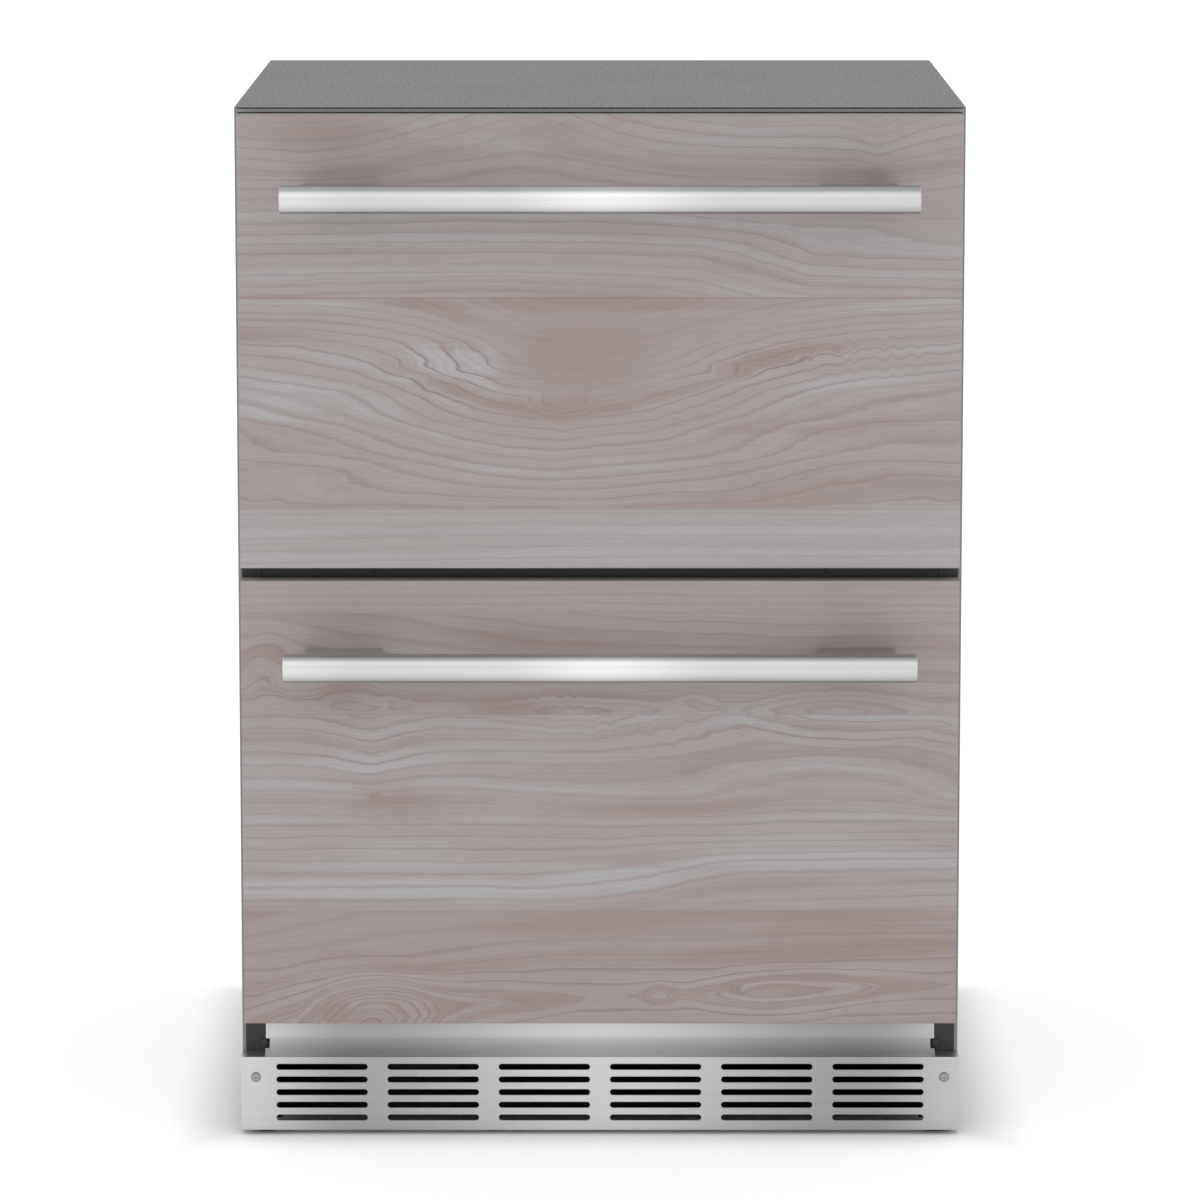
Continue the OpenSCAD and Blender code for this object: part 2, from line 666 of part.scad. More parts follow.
panel_screw_l = 13;    // reach of a panel screw into the wood
panel_screw_end = 30;  // from a panel's top and bottom edges to its outer screws
panel_head_r = 3.8;
panel_head_h = 1.6;

// Places of the six screws that hold a panel from behind, pointing into the wood
module panel_screw_places(z0) for (s = [-1, 1], k = [0 : 2]) {
    z = z0 + panel_screw_end + k * (wood_h / 2 - panel_screw_end);
    translate([s * (wood_w / 2 - panel_screw_in), wood_back_y, z]) rotate([90, 0, 0]) children();
}

module panel_screws(z0) color("#8f9091") panel_screw_places(z0) {
    translate([0, 0, -door_t]) cylinder(r = panel_screw_r, h = door_t + panel_screw_l);
    translate([0, 0, -door_t - panel_head_h])
        cylinder(r1 = panel_head_r - head_bevel, r2 = panel_head_r, h = panel_head_h);
}
module upper_panel_screws() panel_screws(upper_panel_z);
module lower_panel_screws() panel_screws(panel_z);

// Side view of the bar: flat back with small bevels, softly crowned front
bar_steps = 8;
bar_bevel = 1;
bar_crown = 0.8;       // 1 is an ellipse, less is squarer
upper_bar_z = upper_panel_z + wood_h - bar_drop;
lower_bar_z = panel_z + wood_h - bar_drop;
bar_outline = concat(
    [[bar_back_y, bar_h / 2 - bar_bevel], [bar_back_y - bar_bevel, bar_h / 2]],
    [for (k = [0 : bar_steps]) let (a = 90 - 180 * k / bar_steps)
        [bar_back_y - bar_d + bar_curve * (1 - pow(cos(a), bar_crown)),
            bar_h / 2 * sign(a) * pow(abs(sin(a)), bar_crown)]],
    [[bar_back_y - bar_bevel, -bar_h / 2], [bar_back_y, bar_bevel - bar_h / 2]]);

module handle_bar(z) color("#d2d3d4") translate([0, 0, z]) slab_x(-bar_l / 2, bar_l / 2) polygon(bar_outline);
module upper_handle_bar() handle_bar(upper_bar_z);
module lower_handle_bar() handle_bar(lower_bar_z);

handle_post_r = 2;
handle_post_half = [handle_post_w, handle_post_h] / 2;

module handle_posts(z) color("#bfc0c1") both_sides() slab_y(bar_back_y, wood_y)
    round_pad([handle_post_span / 2, z], handle_post_half, handle_post_r);
module upper_handle_posts() handle_posts(upper_bar_z);
module lower_handle_posts() handle_posts(lower_bar_z);

// One member of a telescopic slide: a channel at a depth t0 to t1 off the liner wall
module rail_member(z, h, t0, t1, web_outside) {
    x0 = cavity_x - t1;
    x1 = cavity_x - t0;
    slab_y(rail_y, rail_y + rail_l) {
        rect(web_outside ? [x1 - rail_sheet, z - h / 2] : [x0, z - h / 2],
            web_outside ? [x1, z + h / 2] : [x0 + rail_sheet, z + h / 2]);
        rect([x0, z - h / 2], [x1, z - h / 2 + rail_sheet]);
        rect([x0, z + h / 2 - rail_sheet], [x1, z + h / 2]);
    }
}
rail_in = rail_sheet + rail_gap;
cabinet_lip = 1.7;     // from the drawer member's face to the cabinet member's edges
middle_lip = 2.2;      // and to the middle member's edges

module cabinet_rails(z) color("#9c9fa2") both_sides() rail_member(z, rail_h, 0, rail_t - cabinet_lip, true);
module middle_rails(z) color("#b0b3b6") both_sides()
    rail_member(z, rail_h - 2 * rail_in, rail_in, rail_t - middle_lip, true);
module drawer_rails(z) color("#9c9fa2") both_sides()
    rail_member(z, rail_h - 4 * rail_in, 2 * rail_in, rail_t, false);
module upper_cabinet_rails() cabinet_rails(upper_rail_z);
module lower_cabinet_rails() cabinet_rails(lower_rail_z);
module upper_middle_rails() middle_rails(upper_rail_z);
module lower_middle_rails() middle_rails(lower_rail_z);
module upper_drawer_rails() drawer_rails(upper_rail_z);
module lower_drawer_rails() drawer_rails(lower_rail_z);

// A bin's footprint shrunk by g, from the door to y1
module bin_plan(y1, g) round_rect([-bin_x + g, plug_y + g], [bin_x - g, y1 - g], bin_r - g);

module upper_bin() color("#e9ebec") difference() {
    slab_z(upper_bin_z, upper_bin_top) bin_plan(bin_back, 0);
    slab_z(upper_bin_z + bin_t, upper_bin_top - bin_rim) bin_plan(bin_back, bin_t);
    slab_z(upper_bin_top - bin_rim - past, upper_bin_top + past) bin_plan(bin_back, bin_rim);
}

module lower_bin() color("#e9ebec") difference() {
    union() {
        slab_z(lower_bin_z, lower_bin_top) bin_plan(lower_bin_step_y, 0);
        slab_z(lower_bin_step_z, lower_bin_top) bin_plan(bin_back, 0);
    }
    slab_z(lower_bin_z + bin_t, lower_bin_top - bin_rim) bin_plan(lower_bin_step_y, bin_t);
    slab_z(lower_bin_step_z + bin_t, lower_bin_top - bin_rim) bin_plan(bin_back, bin_t);
    slab_z(lower_bin_top - bin_rim - past, lower_bin_top + past) bin_plan(bin_back, bin_rim);
}

hook_t = 1.6;
hook_down = 7;         // how far a hook reaches down outside the rim
hook_up = 2.5;         // height of a divider's top edge over the rim

// A divider hangs on both rims by its hooks and stands just above the bin's floor
module divider(y, z0, z1) color("#cfd6da") slab_y(y - divider_t / 2, y + divider_t / 2) {
    x = bin_x - bin_rim - hook_gap;
    polygon(rounded([[-x, z0 + bin_t + hook_gap, divider_r], [x, z0 + bin_t + hook_gap, divider_r],
        [x, z1 + hook_up, 0], [-x, z1 + hook_up, 0]]));
    both_sides() {
        rect([x - past, z1 + hook_gap], [bin_x + hook_gap + hook_t, z1 + hook_up]);
        rect([bin_x + hook_gap, z1 - hook_down], [bin_x + hook_gap + hook_t, z1 + hook_up]);
    }
}
module upper_divider() divider(upper_divider_y, upper_bin_z, upper_bin_top);
module lower_divider() divider(lower_divider_y, lower_bin_z, lower_bin_top);

// ---------------------------------------------------------------- levelling legs

nut_r = 8.5;
pad_bevel = 1;
pad_rim = 1.5;
pad_slope = 4;

module leg(x, y) color("#2a2a2b") translate([x, y, 0]) {
    rotate_extrude() polygon([[0, 0], [pad_r - pad_bevel, 0], [pad_r, pad_bevel], [pad_r, pad_h - pad_rim],
        [pad_r - pad_slope, pad_h], [0, pad_h]]);
    translate([0, 0, pad_h]) cylinder(r = nut_r, h = base_z - part_gap - pad_h, $fn = 6);
    cylinder(r = shank_r, h = base_z + shank_up);
}
module front_left_leg() leg(-leg_x, leg_ys[0]);
module front_right_leg() leg(leg_x, leg_ys[0]);
module rear_left_leg() leg(-leg_x, leg_ys[1]);
module rear_right_leg() leg(leg_x, leg_ys[1]);

// ---------------------------------------------------------------- machine space

foot_span = [2 * comp_r + 24, 110];   // between the compressor's foot holes
plate_edge = [14, 14];                // from a foot hole to the plate's edges
plate_r = 10;
shell_foot = 10;       // how far the shell draws in towards its flat foot
shell_foot_h = 24;
shell_foot_r = 22;
shell_dome_h = 42;
shell_dome_r = 40;
shell_cap_r = 30;
shell_cap = 0.35;      // flat top, as a share of the shell's radius
weld_h = 4;            // welded band round the shell's middle
weld_out = 3.5;
term_half = 24;        // terminal box
term_up = 22;
term_r = 6;
term_in = 10;
grommet_r = 9;
grommet_neck_r = 5;
grommet_cap_h = 3;

module foot_places() for (x = [-1, 1], y = [-1, 1])
    translate([comp_x + x * foot_span[0] / 2, machine_mid_y + y * foot_span[1] / 2, 0]) children();

module compressor_shell() rotate_extrude() {
    polygon(rounded([[0, 0, 0], [comp_r - shell_foot, 0, 0], [comp_r, shell_foot_h, shell_foot_r],
        [comp_r, comp_h - shell_dome_h, shell_dome_r], [comp_r * shell_cap, comp_h, shell_cap_r],
        [0, comp_h, 0]], 8));
    rect([comp_r - past, comp_h / 2], [comp_r + weld_out, comp_h / 2 + weld_h]);
}

module compressor() color("#232425") {
    translate([comp_x, machine_mid_y, comp_z]) compressor_shell();
    difference() {
        slab_z(comp_plate_z, comp_z)
            round_pad([comp_x, machine_mid_y], foot_span / 2 + plate_edge, plate_r);
        foot_places() translate([0, 0, comp_plate_z - past])
            cylinder(r = grommet_neck_r, h = comp_plate_t + 2 * past);
    }
    slab_z(comp_z + term_up, comp_z + comp_h / 2 - past)
        round_rect([comp_x - comp_r - term_out, machine_mid_y - term_half],
            [comp_x - comp_r + term_in, machine_mid_y + term_half], term_r);
}

module compressor_grommets() color("#1a1a1a") foot_places() translate([0, 0, pan_top]) {
    cylinder(r = grommet_r, h = grommet_h);
    cylinder(r = grommet_neck_r, h = grommet_h + comp_plate_t);
    translate([0, 0, grommet_h + comp_plate_t]) cylinder(r = grommet_r - past, h = grommet_cap_h);
}

fin_t = 0.8;
end_plate_t = 1.5;
tube_end = 4;         // straight tube past a coil's fins

// A half-turn of tube towards +X whose legs are 2 * bend apart along Z
module return_bend(bend, r) rotate([90, 0, 0]) rotate([0, 0, -90])
    rotate_extrude(angle = 180) translate([bend, 0]) circle(r);

// Fin-and-tube block centred on the origin: one tube that runs along X, back and forth through all the fins
module fin_coil(length, depth, height, fins, cols, rows, r) {
    py = depth / cols;
    pz = height / rows;
    end_x = length / 2 + tube_end;
    function row_z(k) = (k - (rows - 1) / 2) * pz;
    function col_y(c) = (c - (cols - 1) / 2) * py;
    for (i = [0 : fins - 1]) translate([-length / 2 + (i + 0.5) * length / fins, 0, 0])
        cube([fin_t, depth, height], center = true);
    for (c = [0 : cols - 1]) {
        for (k = [0 : rows - 1]) rod([-end_x, col_y(c), row_z(k)], [end_x, col_y(c), row_z(k)], r);
        for (k = [0 : rows - 2]) translate([k % 2 == 0 ? end_x : -end_x, col_y(c), row_z(k + 0.5)])
            rotate([0, 0, k % 2 == 0 ? 0 : 180]) return_bend(pz / 2, r);
    }
    for (c = [0 : cols - 2]) translate([rows % 2 == 0 || c % 2 == 1 ? -end_x : end_x, col_y(c + 0.5),
            row_z(c % 2 == 0 ? rows - 1 : 0)])
        rotate([0, 0, rows % 2 == 0 || c % 2 == 1 ? 180 : 0]) rotate([90, 0, 0]) return_bend(py / 2, r);
    for (s = [-1, 1]) translate([s * (length - end_plate_t) / 2, 0, 0])
        cube([end_plate_t, depth + 2 * coil_frame, height + 2 * coil_frame], center = true);
}

cond_cols = 3;
cond_rows = 4;

module condenser_coil() color("#a9713f") translate([cond_x, machine_mid_y, cond_z]) rotate([0, 0, 90])
    fin_coil(cond_l, cond_w, cond_h, cond_fins, cond_cols, cond_rows, tube_r);

shroud_t = 2;
shroud_r = 10;
shroud_foot = 26;      // depth of the flange the shroud stands on
ring_d = 20;
ring_t = 2;            // wall of the bell mouth
fan_tip_gap = 2;       // between the blade's tips and the bell mouth
arm_w = 6;
arm_t = 4;
motor_r = 22;
fan_shaft_r = 3;
fan_shaft_l = 14;
hub_r = 16;
hub_h = 12.6;
hub_back = 13;         // from the back of the motor to the hub's far end
cond_pitch = 28;
shroud_half = cond_fan_r + 14;
plate_x = shroud_x - fan_x;
mouth_r = cond_fan_r + fan_tip_gap;

// Plate with a bell mouth, spider arms and the motor that carries the blade's shaft
module condenser_fan_shroud() color("#2d2e30") translate([fan_x, machine_mid_y, fan_z]) {
    difference() {
        union() {
            slab_x(plate_x, plate_x + shroud_t)
                round_rect([-shroud_half, pan_top - fan_z], [shroud_half, shroud_half], shroud_r);
            rotate([0, 90, 0]) translate([0, 0, plate_x]) cylinder(r = mouth_r + ring_t, h = ring_d);
            box([plate_x, -shroud_half, pan_top - fan_z],
                [plate_x + shroud_foot, shroud_half, pan_top - fan_z + shroud_t]);
        }
        rotate([0, 90, 0]) translate([0, 0, plate_x - past]) cylinder(r = mouth_r, h = ring_d + 2 * past);
    }
    for (a = [45 : 90 : 315]) rotate([a, 0, 0])
        box([0, motor_r - past, -arm_w / 2], [arm_t, mouth_r + past, arm_w / 2]);
    rotate([0, 90, 0]) cylinder(r = motor_r, h = motor_l);
    rotate([0, 90, 0]) translate([0, 0, -fan_shaft_l]) cylinder(r = fan_shaft_r, h = fan_shaft_l + past);
}

blade_t = 1.2;

// Outline of one blade: narrow at the hub, broad at the tip
function blade_outline(r, hub) = rounded([
    [0, -hub * 0.45, 0], [r - hub * 0.9, -r * 0.36, r * 0.1],
    [r - hub * 0.75, r * 0.3, r * 0.2], [0, hub * 0.45, 0]]);

// Flat blades set at a pitch around a hub with a shaft bore, axis along Z, hub from 0 to h
module fan_blade(r, n, hub, h, bore, pitch) difference() {
    union() {
        cylinder(r = hub, h = h);
        intersection() {
            for (k = [0 : n - 1]) rotate([0, 0, k * 360 / n])
                translate([hub * 0.8, 0, h / 2]) rotate([pitch, 0, 0])
                    linear_extrude(blade_t, center = true) polygon(blade_outline(r, hub));
            cylinder(r = r, h = h);
        }
    }
    translate([0, 0, -past]) cylinder(r = bore, h = h + 2 * past);
}

module condenser_fan_blade() color("#3c3e40")
    translate([fan_x - hub_back, machine_mid_y, fan_z]) rotate([0, 90, 0])
        fan_blade(cond_fan_r, cond_blades, hub_r, hub_h, fan_shaft_r + shaft_gap, cond_pitch);

drain_t = 2;
drain_r = 8;
drain_end = 10;        // how far the tray reaches past the condenser's fins
drain_half = [cond_w / 2 + coil_frame, cond_l / 2 + drain_end];

// Tray for the melt water; the condenser's end plates stand on its rim
module drain_pan() color("#d8d9da") difference() {
    slab_z(pan_top, pan_top + drain_h) round_pad([cond_x, machine_mid_y], drain_half, drain_r);
    slab_z(pan_top + drain_t, pan_top + drain_h + past)
        round_pad([cond_x, machine_mid_y], drain_half - [drain_t, drain_t], drain_r - drain_t);
}

drier_r = 11;
drier_half = 62;       // half its length over the necks
drier_neck = 12;       // straight neck at each end
drier_cone = 10;
drier_x = cond_x - 8;
drier_y = rear_sheet_y - 22;
drier_z = machine_top - 25;

module filter_drier() color("#b5763f") translate([drier_x, drier_y, drier_z]) rotate([0, 90, 0]) {
    cone = drier_half - drier_neck;
    rotate_extrude() polygon(rounded([[0, -drier_half, 0], [tube_r, -drier_half, 0], [tube_r, -cone, 0],
        [drier_r, drier_cone - cone, 4], [drier_r, cone - drier_cone, 4], [tube_r, cone, 0],
        [tube_r, drier_half, 0], [0, drier_half, 0]]));
}

line_bend = 12;        // room for a line's bend beside a coil, the drier or a wall
line_z = machine_top - line_bend;      // the discharge line's run over the fan
cond_end_y = machine_mid_y - cond_l / 2 - tube_end;
line_gap = 5;          // between a line and the wall it runs along
line_y = machine_y + sheet_t + line_gap + tube_r;
suction_y = rear_sheet_y - line_gap - tube_r;
cond_port_x = cond_w * (cond_cols - 1) / cond_cols / 2;
cond_port_z = cond_h * (cond_rows - 1) / cond_rows / 2;
cond_in = [cond_x - cond_port_x, cond_z + cond_port_z];
cond_out = [cond_x + cond_port_x, cond_z - cond_port_z];
liquid_x = shroud_x - 7;
wall_x = drier_x - drier_half - line_bend;
port_z = comp_z + comp_h * 0.55;

// Copper lines: compressor to condenser, condenser to drier, drier to the wall, wall to compressor
module refrigerant_tubes() color("#b8703a") {
    tube([[comp_x, machine_mid_y - comp_r, port_z], [comp_x, line_y, port_z],
        [comp_x, line_y, line_z], [cond_in[0], line_y, line_z],
        [cond_in[0], line_y, cond_in[1]], [cond_in[0], cond_end_y, cond_in[1]]], tube_r);
    tube([[cond_out[0], cond_end_y, cond_out[1]], [cond_out[0], line_y, cond_out[1]],
        [liquid_x, line_y, cond_out[1]], [liquid_x, line_y, drier_z],
        [liquid_x, drier_y, drier_z], [drier_x + drier_half, drier_y, drier_z]], tube_r);
    tube([[drier_x - drier_half, drier_y, drier_z], [wall_x, drier_y, drier_z],
        [wall_x, drier_y, machine_top]], tube_r);
    tube([[comp_x, machine_mid_y + comp_r, port_z], [comp_x, suction_y, port_z],
        [comp_x, suction_y, machine_top]], tube_r);
}

module_size = [38, 100, 62];           // electronics box
module_at = [24 - half_w, machine_y + sheet_t + 20];
module_r = 5;

module power_module() color("#d0d1d2") slab_z(pan_top, pan_top + module_size[2])
    round_rect(module_at, module_at + [module_size[0], module_size[1]], module_r);

inlet_d = 26;          // depth of the inlet's body
socket_d = 18;
socket_wall = 3;
socket_r = 2.5;
inlet_flange = 1.5;

module power_inlet() color("#161616") difference() {
    union() {
        slab_y(back_y - sheet_t - inlet_d, back_y - sheet_t) inlet_outline(0);
        slab_y(rear_sheet_y - inlet_flange, rear_sheet_y) inlet_outline(socket_wall);
    }
    slab_y(back_y - sheet_t - socket_d, back_y)
        round_pad([inlet_x, inlet_z], inlet_size / 2 - [socket_wall, socket_wall], socket_r);
}

// ---------------------------------------------------------------- cold side

evap_d = 34;
evap_up = 14;          // from the cover's lower edge to the coil's fins
evap_cols = 2;
evap_rows = 5;

module evaporator_coil() color("#c9cccf")
    translate([0, cavity_back - evap_d / 2 - coil_frame, evap_cover_z + evap_up + evap_h / 2])
        fin_coil(evap_w, evap_d, evap_h, evap_fins, evap_cols, evap_rows, tube_r);

cover_t = 2;
cover_r = 12;
evap_pin_r = 2;
evap_pin_l = 22;
evap_hub_r = 13;
evap_hub_h = 12;
evap_pitch = 30;
cover_boss_r = 9;
cover_boss_h = 7;
guard_rings = 2;       // finger guard in front of the fan
guard_pitch = 11;
guard_half = 1;
spoke_half = 1.2;
air_slot = [20, 2.5];  // half length and half height of an air slot
air_pitch = [54, 12];
air_rows = 4;
air_first = 26;        // from the cover's lower edge to the lowest row of slots

// Moulded cover with air slots, a fan opening with spokes, and the boss for the fan's shaft
module evaporator_cover() color("#e4e6e7") {
    x = evap_cover_w / 2;
    top = evap_cover_z + evap_cover_h;
    difference() {
        slab_y(evap_cover_y, cavity_back) round_rect([-x, evap_cover_z], [x, top], cover_r);
        slab_y(evap_cover_y + cover_t, cavity_back + past) round_rect(
            [cover_t - x, evap_cover_z + cover_t], [x - cover_t, top - cover_t], cover_r - cover_t);
        slab_y(evap_cover_y - past, evap_cover_y + cover_t + past) {
            translate([0, evap_fan_z]) circle(evap_fan_r + 1);
            for (r = [0 : air_rows - 1], c = [-3 : 3])
                translate([c * air_pitch[0], evap_cover_z + air_first + r * air_pitch[1]])
                    round_pad([0, 0], air_slot, air_slot[1] - hair);
        }
    }
    translate([0, evap_cover_y, evap_fan_z]) rotate([-90, 0, 0]) {
        for (a = [0 : 45 : 315]) rotate([0, 0, a])
            box([cover_boss_r - past, -spoke_half, 0], [evap_fan_r + 2 * past, spoke_half, cover_t]);
        for (k = [1 : guard_rings]) linear_extrude(cover_t) difference() {
            circle(cover_boss_r + k * guard_pitch + guard_half);
            circle(cover_boss_r + k * guard_pitch - guard_half);
        }
        cylinder(r = cover_boss_r, h = cover_boss_h);
        cylinder(r = evap_pin_r, h = evap_pin_l);
    }
}

module evaporator_fan_blade() color("#55585a")
    translate([0, evap_cover_y + cover_boss_h + part_gap, evap_fan_z]) rotate([-90, 0, 0])
        fan_blade(evap_fan_r, evap_blades, evap_hub_r, evap_hub_h, evap_pin_r + shaft_gap, evap_pitch);

// Things fixed to the ceiling and wall of the liner: [half width, near edge, far edge] behind the doors
lamp_at = [120, 58, 74];
lamp_h = 6;
lamp_r = 4;
control_at = [80, 6, 44];
control_h = 10;
control_r = 6;

module ceiling_plan(at, r) round_rect([-at[0], plug_y + at[1]], [at[0], plug_y + at[2]], r);
module led_lamp() color("#f7f7f2") slab_z(cavity_top - lamp_h, cavity_top) ceiling_plan(lamp_at, lamp_r);
module control_panel() color("#26282a") slab_z(cavity_top - control_h, cavity_top)
    ceiling_plan(control_at, control_r);

sensor_at = [27, cavity_top - 42];
sensor_half = [7, 18];
sensor_t = 7;
sensor_r = 5;

module temperature_sensor() color("#f0f0f0") slab_x(cavity_x - sensor_t, cavity_x)
    round_pad(sensor_at, sensor_half, sensor_r);

left_side_panel();
right_side_panel();
top_panel();
back_panel();
machine_cover();
body_screws();
base_pan();
cabinet_floor();
insulation_foam();
inner_liner();
left_frame_post();
right_frame_post();
top_rail();
center_mullion();
toe_cove();
base_grille();
grille_screws();
compressor();
compressor_grommets();
condenser_coil();
condenser_fan_shroud();
condenser_fan_blade();
drain_pan();
filter_drier();
refrigerant_tubes();
power_module();
power_inlet();
evaporator_coil();
evaporator_cover();
evaporator_fan_blade();
led_lamp();
control_panel();
temperature_sensor();
upper_cabinet_rails();
lower_cabinet_rails();
upper_middle_rails();
lower_middle_rails();
upper_drawer_rails();
lower_drawer_rails();
upper_drawer_door();
lower_drawer_door();
upper_gasket();
lower_gasket();
upper_wood_panel();
lower_wood_panel();
upper_panel_screws();
lower_panel_screws();
upper_handle_bar();
lower_handle_bar();
upper_handle_posts();
lower_handle_posts();
upper_bin();
lower_bin();
upper_divider();
lower_divider();
front_left_leg();
front_right_leg();
rear_left_leg();
rear_right_leg();
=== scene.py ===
"""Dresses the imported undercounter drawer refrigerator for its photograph.

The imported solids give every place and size. Each sub-assembly below takes its boxes from them, builds
its finer meshes there, and gives every piece a procedural finish. All lengths are in metres.
"""

from __future__ import annotations

import json
import logging
import math
from dataclasses import dataclass
from enum import Enum
from typing import Iterable, Sequence

import bmesh
import bpy
import numpy as np
from mathutils import Matrix, Vector

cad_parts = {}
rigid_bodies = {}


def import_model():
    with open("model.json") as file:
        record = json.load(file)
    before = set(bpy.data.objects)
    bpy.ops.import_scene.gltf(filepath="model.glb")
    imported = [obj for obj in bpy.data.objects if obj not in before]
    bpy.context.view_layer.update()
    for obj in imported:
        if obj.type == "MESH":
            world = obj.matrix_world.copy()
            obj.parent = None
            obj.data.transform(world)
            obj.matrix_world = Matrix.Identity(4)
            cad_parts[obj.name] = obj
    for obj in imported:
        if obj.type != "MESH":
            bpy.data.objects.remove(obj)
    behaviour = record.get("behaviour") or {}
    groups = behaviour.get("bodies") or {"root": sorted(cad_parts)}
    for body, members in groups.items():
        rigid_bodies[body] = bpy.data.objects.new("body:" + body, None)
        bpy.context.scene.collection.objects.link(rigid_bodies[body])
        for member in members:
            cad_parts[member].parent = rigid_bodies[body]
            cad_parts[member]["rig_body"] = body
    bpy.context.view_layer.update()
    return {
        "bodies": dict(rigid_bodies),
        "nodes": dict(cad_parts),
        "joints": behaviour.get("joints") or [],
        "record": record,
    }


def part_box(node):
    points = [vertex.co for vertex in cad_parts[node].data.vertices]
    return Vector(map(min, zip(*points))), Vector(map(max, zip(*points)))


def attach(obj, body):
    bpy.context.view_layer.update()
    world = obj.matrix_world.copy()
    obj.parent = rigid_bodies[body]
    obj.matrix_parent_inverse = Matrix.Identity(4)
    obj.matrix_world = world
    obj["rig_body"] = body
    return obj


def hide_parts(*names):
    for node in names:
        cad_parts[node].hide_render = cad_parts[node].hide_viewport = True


log = logging.getLogger("refrigerator")
MM = 0.001
Colour = tuple[float, float, float]
Socket = bpy.types.NodeSocket


class Axis(Enum):
    """A direction of the shared frame, and the place of its number in a vector."""

    X = 0
    Y = 1
    Z = 2


class Side(Enum):
    """The left or right half of the cabinet, seen from the front."""

    LEFT = "left"
    RIGHT = "right"


class Level(Enum):
    """One of the two drawers."""

    UPPER = "upper"
    LOWER = "lower"

    @property
    def body(self) -> str:
        """The name of the drawer's moving body."""
        return f"{self.value}_drawer"


# ------------------------------------------------------------------ nodes


class Nodes:
    """A node tree under construction."""

    prefix = "ShaderNode"

    def __init__(self, tree: bpy.types.NodeTree) -> None:
        """Starts with a tree.

        Args:
            tree: The tree that the nodes go into.
        """
        self.tree = tree

    def feed(self, socket: Socket, value: object) -> None:
        """Links an output to a socket, or sets the socket's own value.

        Args:
            socket: The input socket.
            value: An output socket, a number, or a colour or vector.
        """
        if isinstance(value, Socket):
            self.tree.links.new(value, socket)
        elif isinstance(value, tuple) and socket.type == "RGBA" and len(value) == 3:
            socket.default_value = (*value, 1.0)
        else:
            socket.default_value = value

    def node(self, kind: str, inputs: dict[str | int, object], prefix: str = "",
             **options: object) -> bpy.types.Node:
        """Adds a node.

        Args:
            kind: The node's type name after the prefix.
            inputs: Values or outputs for its input sockets.
            prefix: ShaderNode or GeometryNode, where it isn't the tree's usual one.
            options: The node's own properties.

        Returns:
            The new node.
        """
        made = self.tree.nodes.new((prefix or self.prefix) + kind)
        for name, value in options.items():
            setattr(made, name, value)
        for key, value in inputs.items():
            self.feed(made.inputs[key], value)
        return made

    def math(self, operation: str, a: object, b: object = 0.0) -> Socket:
        """One Math node.

        Args:
            operation: Its operation.
            a: The first value.
            b: The second value.

        Returns:
            The number output.
        """
        return self.node("Math", {0: a, 1: b}, "ShaderNode", operation=operation).outputs[0]


